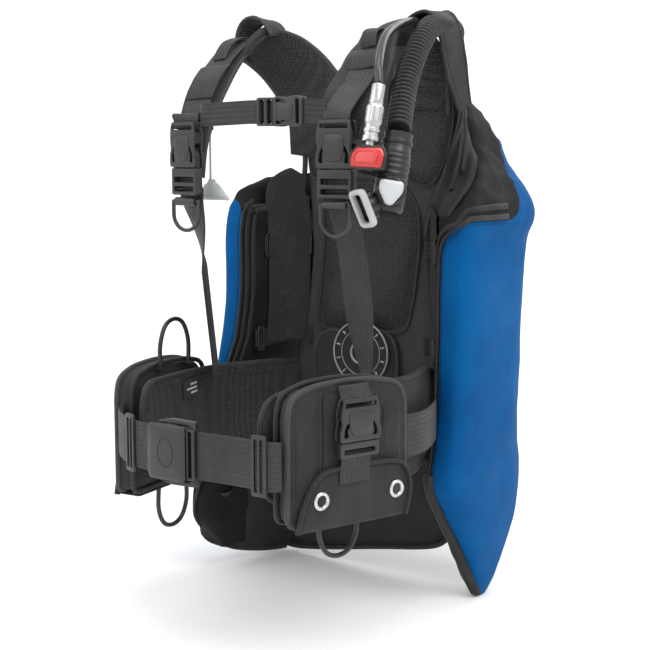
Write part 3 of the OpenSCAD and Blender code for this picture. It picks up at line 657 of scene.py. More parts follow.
def build_wing():
    c, rings = wing_rings()
    m = len(rings)
    runs = np.array([around(r) for r in rings])
    blue = np.zeros((m, WING_N))
    moved = rings.copy()
    for i in range(m):
        ring_c = c[i]
        for j in range(WING_N):
            p = rings[i, j]
            d = seam_distance(1 if c[i][0] > 0 else -1, runs[i, j], p[2], p[1], runs[i, WING_N * 3 // 4])
            blue[i, j] = d
            out = p - ring_c
            out[1] *= 0.35
            out /= np.linalg.norm(out) + 1e-9
            upper = min(1.0, max(0.0, (p[2] - 430) / 40))
            soft = 1.6 * wobble(p, 60, 3.0) + 0.7 * wobble(p, 22, 8.0)
            folds = upper * (3.6 * wobble((p[0] * 1.8, p[1] * 1.3, p[2] * 0.25), 26,
                                          5.0) + 1.8 * wobble((p[0] * 2, p[1] * 1.5, p[2] * 0.4), 14, 1.0))
            pucker = 1.1 * math.exp(-abs(d) / 11) * wobble((p[2] * 1.0, p[0] * 0.2, p[1] * 0.4), 9, 2.0)
            edge = -1.4 * math.exp(-(d / 5.0) ** 2)
            fade = min(1.0, np.linalg.norm(rings[i, 0] - rings[i, WING_N // 2]) / 30)
            moved[i, j] = p + out * (soft * (1 - 0.4 * upper) + folds * (0.35 if d > 6
                    else 1.0) + pucker + edge) * fade
    verts = list(moved.reshape(-1, 3)) + [moved[0].mean(0), moved[-1].mean(0)]
    n = WING_N
    faces = [(i * n + j, i * n + (j + 1) % n, (i + 1) * n + (j + 1) % n, (i + 1) * n + j)
             for i in range(m - 1) for j in range(n)]
    faces += [(m * n, j, (j + 1) % n) for j in range(n)]
    faces += [(m * n + 1, (m - 1) * n + j, (m - 1) * n + (j + 1) % n) for j in range(n)]
    wing = mesh("wing", verts, faces, WING, attrs={"blue": list(blue.ravel()) + [blue[0].mean(),
            blue[-1].mean()]})
    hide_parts("wing_shell", "bladder")
    return c, moved, runs


wing_c, wing_r, wing_s = build_wing()


def on_wing(side, z, s, lift=0.0):
    """The wing's surface at height z, s millimetres outwards from its front."""
    half = [i for i in range(len(wing_c)) if side * wing_c[i][0] > 60]
    half.sort(key=lambda i: wing_c[i][2])
    zs = [wing_c[i][2] for i in half]
    k = int(np.clip(np.searchsorted(zs, z), 1, len(half) - 1))
    f = float(np.clip((z - zs[k - 1]) / (zs[k] - zs[k - 1]), 0, 1))

    def point(i):
        order = np.argsort(wing_s[i])
        return np.array([np.interp(s, wing_s[i][order], wing_r[i][order, a]) for a in range(3)])

    a, b = point(half[k - 1]), point(half[k])
    p = a + (b - a) * f
    out = p - (wing_c[half[k - 1]] * (1 - f) + wing_c[half[k]] * f)
    out[1] *= 0.4
    return p + lift * out / (np.linalg.norm(out) + 1e-9)


def wing_bindings():
    for side, name, low, top, corner in ((1, "left", 12, 446, 42), (-1, "right", 60, 466, 6)):
        line = [(seam_at(side, z), z) for z in np.arange(low, top - corner, 6)]
        edge = seam_at(side, top - corner)
        line += [(edge + corner - corner * math.cos(a), top - corner + corner * math.sin(a))
                 for a in np.linspace(0, math.pi / 2, 12)]
        line += [(s, top) for s in np.arange(edge + corner + 6, 92, 7) if side > 0]
        for k, (back, r, mat) in enumerate(((2.5, 3.2, BINDING_DARK), (9.5, 3.8, NYLON_DARK),
                                            (17, 3.6, BINDING_DARK))):
            if side > 0 and k == 2:
                continue
            bent = [on_wing(side, z + (0 if z < top - 1 else back * 0.9), s - back, 1.2) for s, z in line]
            tube(f"wing_binding_{name}_{k}", even(smooth(bent, 2), 4), r, mat, flat=0.55,
                 across=(0, 0.5, 0.85), sides=12)
        stitches(f"wing_binding_thread_{name}", np.array([on_wing(side, z - 3, s + 3.5, 0.5) for s,
                                                          z in line]), BINDING_DARK)
    hem = [(z, seam_at(1, z) - 3 - 3 * math.sin((z - 10) / 150 * math.pi)) for z in np.arange(8, 168, 5)]
    for k, (shift, r) in enumerate(((8, 4.8), (0, 6.0), (-9, 5.4))):
        path = np.array([on_wing(1, z, s + shift, 1.6 + 1.2 * wobble((z, s, k * 9.0), 14)) for z, s in hem])
        tube(f"wing_hem_{k}", even(smooth(path, 2), 4), r, (NYLON_DARK, BINDING_DARK, NYLON_DARK)[k],
             flat=0.8, sides=12, rough=0.9, size=9)
    tag = turned(on_wing(1, 6, -22), (0.5, 0.8, 0.1), (0.1, 0.2, -1), (0.8, -0.55, 0.1))
    pillow("wing_tip_tab", fillet([(-9, -12), (9, -12), (8, 3), (3, 5), (0, 2), (-4, 6), (-8, 3)], 2), tag,
           2.2, 2.2, NYLON_DARK, rings=6,
           crown=(6, 0.5), rough=0.6, size=6, step=2)


wing_bindings()


# ---------------------------------------------------------------- back
def facing(y):
    """place() for pieces on the back that face the wearer."""
    return lambda x, z, h: V(x, y - h, z)


panel_line = fillet([(-152, 22), (-138, 8), (0, 30), (84, 44), (106, 76), (109, 200), (109, 400), (96, 450),
                     (78, 520), (50, 540),
                     (-50, 540), (-78, 520), (-96, 450), (-109, 400), (-109, 200), (-116, 70), (-150, 50)],
                     18)
panel = pillow("back_panel_cloth", panel_line, facing(34), 3.4, 3.2, NYLON, rings=16, rough=1.6, size=34,
               step=8,
               crown=(8.0, 0.4))
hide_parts("back_panel")
edge = even(smooth([(x, 31.5, z) for x, z in [(-152, 34), (-146, 14), (-120, 11), (-60, 20), (0, 31),
                                              (60, 41),
                                               (88, 50), (103, 70), (108, 110), (109, 180)]], 4), 5)
tube("back_panel_binding", edge, 4.2, BINDING_DARK, flat=0.75, across=(0.2, 1, 0), sides=12)
stitches("back_panel_thread", edge + V(0, -3.4, 5.5), BINDING_DARK)

pad_line = fillet([(0, 206), (80, 206), (104, 220), (111, 250), (102, 290), (90, 340), (84, 385), (82, 425),
                   (90, 455), (99, 480),
                   (110, 506), (121, 542), (124, 572), (118, 598), (104, 614), (84, 622), (60, 624),
                   (0, 617), (-60, 620), (-102, 612),
                   (-109, 592), (-96, 548), (-89, 500), (-84, 440), (-84, 385), (-90, 340), (-104, 290),
                   (-112, 250), (-104, 220),
                   (-80, 206)], 12)
pad = pillow("back_padding", pad_line, facing(9), 8.6, 8.6, CHARCOAL, rings=18, crown=(7.0, 0.42),
             rough=0.9, size=40,
             step=7, second=NYLON_DARK)
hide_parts("back_pad")
INLAYS = {
    "inlay_lower": [(-72, 306), (56, 308), (66, 350), (74, 420), (70, 462), (44, 492), (-44, 492),
                    (-64, 462), (-60, 430), (-66, 360)],
    "inlay_upper_left": [(26, 520), (60, 488), (80, 480), (98, 494), (112, 530), (117, 572), (110, 598),
                         (94, 612), (64, 616), (30, 608)],
    "inlay_upper_right": [(-30, 520), (-62, 500), (-76, 486), (-82, 500), (-86, 545), (-97, 588),
                          (-90, 604), (-52, 610), (-30, 604)],
}
for key, line in INLAYS.items():
    rounded = fillet(line, 16)
    pillow(key, rounded, facing(2.2), 4.6, 2.0, MESH, rings=10, crown=(6, 0.5), rough=0.5, step=5)
    ring = np.array([(x, -0.6, z) for x, z in dense(rounded, 5)])
    tube(key + "_piping", np.vstack([ring, ring[:2]]), 1.9, BINDING_DARK, across=(0, 1, 0), sides=10)
for side, name, x, low in ((-1, "right", -44, 0), (1, "left", 19, 4)):
    line = fillet([(x - 27, 214), (x + 27, 214), (x + 27, 280 + low), (x + 22, 298 + low), (x, 309 + low),
                   (x - 22, 298 + low),
                   (x - 27, 280 + low)], 12)
    tab = pillow(f"lumbar_pad_{name}", line, facing(-5), 6.0, 5.0, NYLON, rings=10, crown=(4, 0.5), step=4)
    ring = np.array([(x, -5, z) for x, z in dense(line, 4)])
    tube(f"lumbar_pad_binding_{name}", np.vstack([ring, ring[:2]]), 2.4, BINDING, across=(0, 1, 0), sides=10)

badge_at = facing(-12.4)
badge = pillow("badge_disc", circle(0, 283, 40, 48), badge_at, 1.2, 1.4, NYLON_DARK, rings=6,
               crown=(20, 0.5), step=4)
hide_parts("labels")
for k, (r, w) in enumerate(((38, 2.0), (27, 1.0), (13, 2.8))):
    ring = np.array([badge_at(x, z, 1.3) for x, z in circle(0, 283, r, 64)])
    tube(f"badge_ring_{k}", np.vstack([ring, ring[:2]]), w, LABEL, flat=0.35, across=(0, 1, 0), sides=8)
for k in range(12):
    a = math.radians(30 * k + 15)
    ray = np.array([badge_at(r * math.cos(a), 283 + r * math.sin(a), 1.3) for r in np.linspace(30, 34.5, 3)])
    tube(f"badge_ray_{k}", ray, 2.4, LABEL, flat=0.35, across=(0, 1, 0.02), sides=8)


# ---------------------------------------------------------------- side panels
def gathered(name, left, right, mat, folds, depth, seed, second=None):
    """A cloth panel between two edge lines, with soft folds that run along it."""
    a, b = smooth(left, 6), smooth(right, 6)
    mid, across = (a + b) / 2, b - a
    half = np.linalg.norm(across, axis=1) / 2

    def fold(t, f):
        phase = f * folds + 2.2 * math.sin(2.6 * t + seed) + seed
        return depth * (1 - f ** 4) * (math.sin(phase) * (0.35 + 0.65 * t)
                                       + 0.7 * wobble((f * 40, t * 160, seed * 10), 26))

    shape = np.array([(math.cos(x), 0) for x in np.linspace(0, math.pi, 33)])
    shape = np.vstack([np.stack([shape[:, 0], np.full(33, 1.0)], 1),
                       np.stack([shape[::-1, 0], np.full(33, -1.0)], 1)])
    return sweep(name, mid, across / (2 * half[:, None]), half, 0.9, shape, mat, offset=fold, second=second)


gathered("side_cloth_near", [(112, 8, 618), (122, 2, 592), (126, -1, 566), (121, -2, 540), (109, -2, 505),
                             (98, -3, 478), (90, -4, 450)],
         [(78, 62, 588), (104, 46, 556), (120, 26, 530), (132, 8, 506), (142, -8, 486), (142, -32, 468),
          (134, -50, 446)], NYLON, 7.0, 3.4, 0.4)
gathered("side_cloth_near_low", [(88, -1, 460), (86, 2, 420), (87, 2, 370), (90, 3, 320), (95, 6, 260)],
         [(120, -48, 452), (117, -38, 420), (116, -34, 370), (115, -34, 320), (114, -34, 260)], NYLON, 3.0,
         1.6, 1.4)
gathered("side_cloth_far", [(-88, 4, 290), (-86, 3, 340), (-84, 2, 400), (-84, 0, 450), (-86, -1, 480),
                            (-90, -2, 506)],
         [(-121, -40, 290), (-119, -38, 340), (-118, -38, 400), (-119, -40, 450), (-118, -40, 472),
          (-100, -14, 490)], NYLON, 2.6, 1.8, 2.2)
gathered("apron_far", [(-183, -74, 62), (-178, -68, 38), (-172, -54, 26), (-164, -34, 19), (-152, -4, 13),
                       (-142, 30, 9), (-120, 33, 12)],
         [(-176, -96, 112), (-160, -92, 116), (-152, -72, 118), (-148, -44, 120), (-144, -10, 122),
          (-128, 30, 122), (-110, 33, 122)],
         NYLON, 2.0, 1.4, 0.9)
tube("apron_far_binding", even(smooth([(-182, -86, 100), (-184, -76, 62), (-179, -69, 38), (-172, -54, 25),
                                       (-164, -34, 18), (-152, -4, 12),
                                       (-142, 28, 9)], 5), 4), 3.6, BINDING_DARK, flat=0.8, sides=12)
arc = [(79, 621), (92, 622), (106, 616), (118, 600), (124, 584), (126, 566), (121, 542), (109, 505),
       (98, 478), (89, 452), (82, 424)]
tube("side_mesh_piping", even(smooth([(x, -4, z) for x, z in arc], 5), 4), 2.6, BINDING, flat=0.8,
     across=(0, 1, 0), sides=10)
for k, line in enumerate(([(116, 4, 600), (124, 0, 560), (126, -4, 520), (124, -20, 480)],
                          [(119, 10, 585), (128, 6, 540), (131, -6, 500)])):
    tube(f"side_fold_{k}", even(smooth(line, 6), 4), 3.0, NYLON, flat=0.6, sides=12,
         rough=1.0, size=12)


# ---------------------------------------------------------------- shoulders
def loft(name, left, right, thick, mat, second=None, body="vest", n=24, bulge=3.4, k=6,
         rough=0.6):
    """A padded strap between two edge lines. Returns the piece and both edges, made smooth."""
    a, b = smooth(left, k), smooth(right, k)
    mid, across = (a + b) / 2, (b - a)
    half = np.linalg.norm(across, axis=1) / 2
    ob = sweep(name, mid, across / (2 * half[:, None]), half, thick, profile(n + 12, bulge), mat, body,
               second=second,
               rough=rough)
    return ob, a, b


FAR_OUTER = [(-95, 4, 482), (-90, -1, 524), (-101, -4, 556), (-120, -14, 590), (-131, -38, 618),
             (-139, -72, 634),
             (-148, -104, 626), (-150, -138, 600), (-142, -166, 566), (-133, -184, 532), (-127, -192, 500)]
FAR_INNER = [(-40, 2, 548), (-36, -3, 600), (-48, -6, 623), (-68, -12, 644), (-88, -25, 659),
             (-103, -52, 662),
             (-113, -90, 634), (-107, -138, 588), (-99, -168, 556), (-97, -184, 528), (-96, -191, 494)]
NEAR_OUTER = [(108, 2, 560), (110, -6, 600), (108, -18, 634), (98, -44, 660), (92, -72, 662), (97, -100, 642),
              (107, -126, 612), (113, -152, 584), (115, -184, 556), (114, -196, 536)]
NEAR_INNER = [(44, 0, 580), (42, -4, 622), (50, -20, 648), (53, -48, 659), (54, -68, 653), (51, -92, 641),
              (52, -118, 625), (57, -140, 609), (63, -170, 582), (68, -190, 548)]
far_strap, far_o, far_i = loft("shoulder_strap_far", FAR_OUTER, FAR_INNER, 5.6, MESH, NYLON)
near_strap, near_o, near_i = loft("shoulder_strap_near", NEAR_OUTER, NEAR_INNER, 5.6, NYLON, MESH)
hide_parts("shoulder_strap_right")
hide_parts("shoulder_strap_left")
for key, line in (("far_outer", far_o), ("far_inner", far_i), ("near_outer", near_o), ("near_inner", near_i)):
    tube(f"strap_piping_{key}", even(line, 5), 3.4, BINDING, flat=0.9, sides=12)


def side_of(left, right, path_t, across_f, lift):
    """A point on a strap: path_t from 0 to 1 along it, across_f from 0 on the left edge to 1 on the right."""
    i = path_t * (len(left) - 1)
    k = min(int(i), len(left) - 2)
    a = left[k] + (left[k + 1] - left[k]) * (i - k)
    b = right[k] + (right[k + 1] - right[k]) * (i - k)
    mid_a, mid_b = (left[k] + right[k]) / 2, (left[k + 1] + right[k + 1]) / 2
    normal = np.cross(mid_b - mid_a, b - a)
    normal /= np.linalg.norm(normal)
    if normal[2] - 0.4 * normal[1] < 0:
        normal = -normal
    return a + (b - a) * across_f + normal * lift, normal


def strap_web(name, left, right, t0, t1, f, half, lift, mat=WEBBING, extra=(), body="vest"):
    pts = [side_of(left, right, t, f, lift)[0] for t in np.linspace(t0, t1, 16)] + [V(*e) for e in extra]
    i = int((t0 + t1) / 2 * (len(left) - 1))
    path = even(smooth(pts, 3), 4)
    return sweep(name, path, (1, 0, 0), half, 1.2, FLAT, mat, body)


SHOULDERS = {"left": (V(93, -205, 505), near_o, near_i), "right": (V(-106, -205, 505), far_o, far_i)}
for key, (mouth, a, b) in SHOULDERS.items():
    web = strap_web(f"shoulder_webbing_{key}", a, b, 0.52, 0.82, 0.5, 17, 7.6, WEBBING,
                    [mouth + V(0, 0, 58), mouth + V(0, 0, 41)])
    if key == "left":
        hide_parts("shoulder_webbing")
    # daisy loop and keeper on the strap
    for num, (t, height) in enumerate(((0.58, 8), (0.70, 4.5))):
        p0, normal = side_of(a, b, t - 0.035, 0.5, 8.6)
        p1, _ = side_of(a, b, t + 0.035, 0.5, 8.6)
        arch = [p0 - (p1 - p0) * 0.25, p0 + normal * height * 0.55, (p0 + p1) / 2 + normal * height,
                p1 + normal * height * 0.55, p1 + (p1 - p0) * 0.25]
        sweep(f"strap_loop_{key}_{num}", even(smooth(arch, 6), 2), (1, 0, 0), 9 if num == 0 else 19, 1.1,
              FLAT, WEBBING_DARK)

# textured tab on top of the far shoulder, and the flap over the hoses
tab_path = even(smooth([(-139, -56, 646), (-137, -55, 662), (-130, -53, 674), (-117, -51, 678),
                        (-104, -49, 672), (-96, -46, 660)],
                       5), 4)
sweep("shoulder_tab", tab_path, (0.12, 1, -0.1), 15, 1.6, PAD, MESH_GREY, second=NYLON_DARK)
for s in (-1, 1):
    t_, u_, n_ = frames_of(tab_path, (0.12, 1, -0.1))
    tube(f"shoulder_tab_binding_{'front' if s < 0 else 'back'}", tab_path + u_ * 15 * s, 2.2, BINDING,
         flat=0.9, sides=10)
flap_path = even(smooth([(70, -34, 640), (78, -35, 656), (92, -36, 669), (108, -36, 675), (119, -34, 670),
                         (126, -30, 652), (127, -22, 628),
                         (126, -8, 600), (127, 4, 572)], 5), 4)
flap_w = np.interp(np.linspace(0, 1, len(flap_path)), [0, 0.45, 0.75, 1], [22, 22, 19, 12])
flap = sweep("hose_flap", flap_path, (0.06, 1, 0.05), flap_w, 1.3, PAD, NYLON, second=NYLON_DARK)
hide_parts("hose_sleeve")
t_, u_, n_ = frames_of(flap_path, (0.06, 1, 0.05))
for s in (-1, 1):
    tube(f"hose_flap_binding_{'front' if s < 0 else 'back'}", flap_path + u_ * flap_w[:, None] * s, 2.4,
         BINDING_DARK, flat=0.9, sides=10)
stitches("hose_flap_thread", flap_path - u_ * (flap_w[:, None] - 5) + n_ * 1.6, BINDING)


# ---------------------------------------------------------------- buckles
def side_release(name, mouth, across, along, outward, w, h, t, web, base, female, male, plain=False):
    """A side-release buckle. across, along and outward are its directions;
    along points into the female half."""
    o, x, z, y = V(*mouth), V(*across), V(*along), V(*outward)
    W, tail = w / 2, web / 2 + 4

    def layer(offset):
        return turned(o + y * offset, x, z, y)

    body = [(-W, 0.4), (W, 0.4), (W, h * 0.30), (W * 0.9, h * 0.46), (W * 0.97, h * 0.62), (tail, h - 6),
            (tail * 0.9, h + 4),
            (-tail * 0.9, h + 4), (-tail, h - 6), (-W * 0.97, h * 0.62), (-W * 0.9, h * 0.46), (-W, h * 0.30)]
    window = [(W * 0.60, h * 0.12), (W * 0.84, h * 0.14), (W * 0.80, h * 0.34), (W * 0.62, h * 0.50),
              (W * 0.50, h * 0.48),
              (W * 0.66, h * 0.30)]
    holes = [] if plain else [fillet(window, 2), fillet([(-a, b) for a, b in window[::-1]], 2)]
    slot = rect(-web / 2, h - 4.6, web / 2, h - 0.4, 1.2)
    parts = [moulded(name + "_female", [fillet(body, 4)] + holes + [slot], layer(t / 2 - 1.8), 3.6, PLASTIC,
                     female, 1.2),
             moulded(name + "_female_back", [fillet(body, 4)] + holes + [slot], layer(-t / 2 + 1.5), 3.0,
                     PLASTIC, female, 0.8)]
    rib = [(-W + 1, h * 0.55), (W - 1, h * 0.55), (tail - 1, h - 7), (-tail + 1, h - 7)]
    parts.append(moulded(name + "_female_core", [fillet(rib, 3)], layer(0), t - 4, PLASTIC_DARK, female, 0.8))
    dome = [(-W * 0.50, h * 0.16), (W * 0.50, h * 0.16), (W * 0.62, h * 0.5), (W * 0.60, h * 0.78),
            (-W * 0.60, h * 0.78),
            (-W * 0.62, h * 0.5)]
    if not plain:
        parts.append(pillow(name + "_female_dome", fillet(dome, 7), layer(t / 2), 1.8, 0.4, PLASTIC, female,
                            rings=8,
                            crown=(3, 0.6), step=2.5))
    bar = [rect(-W * 0.96, -base, W * 0.96, -0.4, 2.5)]
    bar += [rect(-web / 2, -base + 4, web / 2, -base + 8.5, 1.2)] if base < 20 else \
        [rect(-web / 2, -base + 4, web / 2, -base + 9.5, 1.2),
         rect(-web / 2, -base + 14, web / 2, -base + 20, 1.2)]
    grown = [moulded(name + "_male", bar, layer(0), t - 3.2, PLASTIC, male, 1.2)]
    strip = turned(o - y * (t * 0.22), x, z, y)
    grown.append(pillow(name + "_male_web", rect(-web / 2 + 0.6, -base - 1, web / 2 - 0.6, -3, 1), strip,
                        1.1, 1.1, WEBBING_DARK, male,
                        rings=4, crown=(20, 0.4), step=3))
    for s, side in ((-1, "right"), (1, "left")):
        prong = [(s * (W - 8), -0.8), (s * (W - 1.5), -0.8), (s * (W - 1.2), h * 0.28),
                 (s * (W - 5), h * 0.42),
                 (s * (W - 8.5), h * 0.52), (s * (W - 9), h * 0.3)]
        grown.append(moulded(f"{name}_prong_{side}", [fillet(prong if s > 0 else prong[::-1], 1.6)],
                             layer(0), t - 8.0,
                             PLASTIC_DARK, male, 0.7))
    return parts, grown


UP, FRONT, RIGHTWARD = (0, 0, 1), (0, -1, 0), (1, 0, 0)
for key, (mouth, _, _) in SHOULDERS.items():
    turn = 0.0 if key == "left" else math.radians(-12)
    f, m = side_release(f"shoulder_buckle_{key}", mouth, (math.cos(turn), math.sin(turn), 0), UP,
                        (math.sin(turn), -math.cos(turn), 0), 44, 46, 14, 34, 30, "vest",
                        f"shoulder_clip_{key}")
    if key == "left":
        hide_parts("shoulder_buckle_females")
    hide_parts(f"shoulder_buckle_male_{key}")
    m.append(lathe(f"ring_sleeve_{key}", [(2.4, -14), (4.5, -14), (4.7, -13), (4.7, 13), (4.5, 14),
                                          (2.4, 14)],
                   turned(mouth + V(0, -2, -37), (0, 1, 0), (0, 0, 1), (1, 0, 0)), PLASTIC,
                   f"shoulder_clip_{key}", 28))
    # the lower strap turns edge-on as it goes down to the cummerbund's inner face
    end = V(106, -163, 262) if key == "left" else V(-119, -142, 268)
    web = even(smooth([mouth + V(0, 1.5, -24), mouth + V(0, 7.6, -22), mouth + V(0, 9, -38),
                       mouth * 0.6 + end * 0.4 + V(0, 4, 10),
                       mouth * 0.25 + end * 0.75 + V(0, 2, 4), end], 8), 5)
    f0, f1 = (0.6, 1.0) if key == "left" else (0.05, 0.45)
    turns = np.clip((np.linspace(0, 1, len(web)) - f0) / (f1 - f0), 0, 1) * math.radians(-55
            if key == "left" else -60)
    low = sweep(f"lower_strap_{key}", web, np.stack([np.cos(turns), np.sin(turns), 0 * turns], 1), 17, 1.2,
                FLAT, WEBBING, "vest")
    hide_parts(f"lower_webbing_{key}")
    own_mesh(low)

f, m = side_release("chest_buckle", (16, -206, 564), (0, 0, -1), RIGHTWARD, FRONT, 31, 34, 11, 25, 22,
                    "vest", "chest_clip")
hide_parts("chest_buckle_female")
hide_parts("chest_buckle_male")
chest_left = sweep("chest_strap_near", even([(48, -206, 564), (54, -207.6, 564), (60, -206, 564),
                                             (76, -204, 563),
                                             (79, -202, 563)], 3), UP, 12.5, 1.2, FLAT, WEBBING)
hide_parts("chest_strap_left")
chest_right = sweep("chest_strap_far", even([(-1, -206, 564), (-7, -207.4, 564), (-20, -206, 564),
                                             (-80, -206, 562),
                                             (-86, -203, 561)], 3), UP, 12.5, 1.2, FLAT, WEBBING)
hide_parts("chest_strap_right")
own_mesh(chest_right)

# ---------------------------------------------------------------- waist
def cummerbund(name, route, node, z=226, back_w=41, front_w=54, front_round=26):
    path = even(smooth([(x, y, z) for x, y in route], 6), 5)
    run = np.concatenate([[0], np.cumsum(np.linalg.norm(np.diff(path, axis=0), axis=1))])
    total = run[-1]
    half = []
    for s in run:
        w = np.interp(s, [0, 25, 60, total], [back_w, back_w, front_w - 1, front_w])
        d = total - s
        if d < front_round:
            w = w - front_round + math.sqrt(max(front_round ** 2 - (front_round - d) ** 2, 0)) + 0.5
        half.append(w)
    t, u, n = frames_of(path, UP)
    outward = n if n[len(n) // 2][0] * path[len(n) // 2][0] > 0 else -n
    mats = (MESH, NYLON) if outward is n else (NYLON, MESH)
    ob = sweep(name, path, UP, half, 5.2, PAD, mats[0], second=mats[1], rough=0.7)
    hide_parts(node)
    half = np.array(half)[:, None]
    rim = np.vstack([path + V(0, 0, 1) * half, (path - V(0, 0, 1) * half)[::-1]])
    tube(name + "_binding", even(rim, 4), 4.4, BINDING_DARK, flat=0.8, across=None, sides=12)
    stitches(name + "_thread", (path + V(0, 0, 1) * (half - 7) - outward * 5.0)[6:-6], BINDING)
    return path, half, outward


LEFT_ROUTE = [(103, 12), (106, -30), (113, -65), (126, -112), (121, -162), (100, -220), (75, -280),
              (66, -300)]
RIGHT_ROUTE = [(-103, 12), (-106, -30), (-113, -65), (-132, -112), (-140, -160), (-136, -212), (-124, -264)]
cummerbund("cummerbund_near", LEFT_ROUTE, "cummerbund_left")
cummerbund("cummerbund_far", RIGHT_ROUTE, "cummerbund_right", 221, 41, 47)
tag = turned((-133.8, -154, 240), (0.05, -0.995, -0.09), (0, -0.09, 0.996), (1, 0.05, 0))
pillow("size_tag", rect(0, 0, 31, 22, 2), tag, 1.0, 0.4, NYLON_DARK, rings=5, crown=(14, 0.5), step=3)
for k in range(3):
    moulded(f"size_tag_mark_{k}", [rect(6, 15.5 - 5 * k, 18 + 7 * (k % 2), 17.8 - 5 * k, 0.4)], lambda x, z,
            h: tag(x, z, h + 1.2),
            0.5, LABEL, bevel=0.1)

BELT_Z, BELT_Y = 217, -320
belt_right = even(smooth([(-56, BELT_Y, BELT_Z), (-64, BELT_Y, BELT_Z), (-92, -313, BELT_Z),
                          (-122, -298, BELT_Z), (-148, -276, BELT_Z),
                          (-160, -256, BELT_Z)], 5), 4)
belt = sweep("waist_belt_far", belt_right, UP, 25, 1.3, FLAT, WEBBING)
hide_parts("waist_belt")
sweep("waist_belt_rear", even(smooth([(150, -160, 226), (153, -130, 226), (146, -100, 226),
                                      (133, -66, 226)], 5), 4), UP, 23, 1.2,
      FLAT, WEBBING_DARK)
belt_left = even(smooth([(1, BELT_Y, BELT_Z), (8, BELT_Y - 1.6, BELT_Z), (40, BELT_Y, BELT_Z),
                         (89, BELT_Y, BELT_Z), (101, BELT_Y + 6, BELT_Z)], 5), 4)
belt_front = sweep("waist_belt_near", belt_left, UP, 25, 1.3, FLAT, WEBBING)
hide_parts("waist_belt_front_left")
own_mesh(belt_front)
f, m = side_release("waist_buckle", (-12, BELT_Y, BELT_Z), UP, (-1, 0, 0), FRONT, 56, 46, 15, 48, 12,
                    "vest", "waist_clip", plain=True)
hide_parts("waist_buckle_female")
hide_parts("waist_buckle_male")
plate_at = turned((-12, BELT_Y, BELT_Z), (-1, 0, 0), UP, FRONT)
pillow("waist_buckle_plate", rect(-2, -29.5, 48, 29.5, 5), lambda a, b, h: plate_at(a, b, h + 7.2), 3.2,
       2.0, PLASTIC, rings=10,
       crown=(3.0, 0.6), step=3)
ring = np.array([plate_at(23 + 10 * math.cos(a), 15 * math.sin(a), 10.1)
                 for a in np.linspace(0, 2 * math.pi, 41)])
tube("waist_buckle_oval", ring, 0.9, PLASTIC_DARK, flat=0.6, across=FRONT, sides=8)
for s, side in ((-1, "lower"), (1, "upper")):
    paddle = [(-12, s * 24), (-12, s * 34), (20, s * 35), (38, s * 31), (38, s * 29), (-2, s * 28.6)]
    if s < 0:
        paddle = paddle[::-1]
    moulded(f"waist_paddle_{side}", [fillet([(-a, b) for a, b in paddle][::-1], 2)],
            turned((-12, BELT_Y, BELT_Z), (1, 0, 0), UP, FRONT), 6.5, PLASTIC, "waist_clip", 1.6)
for key, x, y, turn in (("near", 80, BELT_Y, 0), ("far", -96, BELT_Y + 8.6, -22)):
    c, s = math.cos(math.radians(turn)), math.sin(math.radians(turn))
    frame_at = turned((x, y, BELT_Z), (c, s, 0), UP, (s, -c, 0))
    slide = moulded(f"belt_slide_{key}", [rect(-9, -31, 9, 31, 3), rect(-5.6, -26.5, -1.5, 26.5, 1),
                                          rect(1.5, -26.5, 5.6, 26.5, 1)],
                    lambda a, b, h, f=frame_at: f(a, b, h + 2.6), 3.2, PLASTIC, bevel=1.0)
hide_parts("webbing_slides")
lathe("pull_cord_guide", [(1.7, 546), (4, 546.6), (4.2, 548), (3.4, 551), (3.4, 566), (4.2, 568.6),
                          (4, 570), (1.7, 570)],
              lambda a, b, z: V(-101 + a, -170 + b, z), PLASTIC_DARK, n=24)


# ---------------------------------------------------------------- weight pockets
def pocket_frame(side):
    if side > 0:
        c, s = math.cos(math.radians(69.6)), math.sin(math.radians(69.6))
        return lambda x, y, z: V(132 + c * x - s * y, -240 + s * x + c * y, z)
    c, s = math.cos(math.radians(84.3)), math.sin(math.radians(84.3))
    return lambda x, y, z: V(-178 - (c * x - s * y), -187 + s * x + c * y, z - 13)


def direction(local, a, b):
    d = local(*b) - local(*a)
    return d / np.linalg.norm(d)


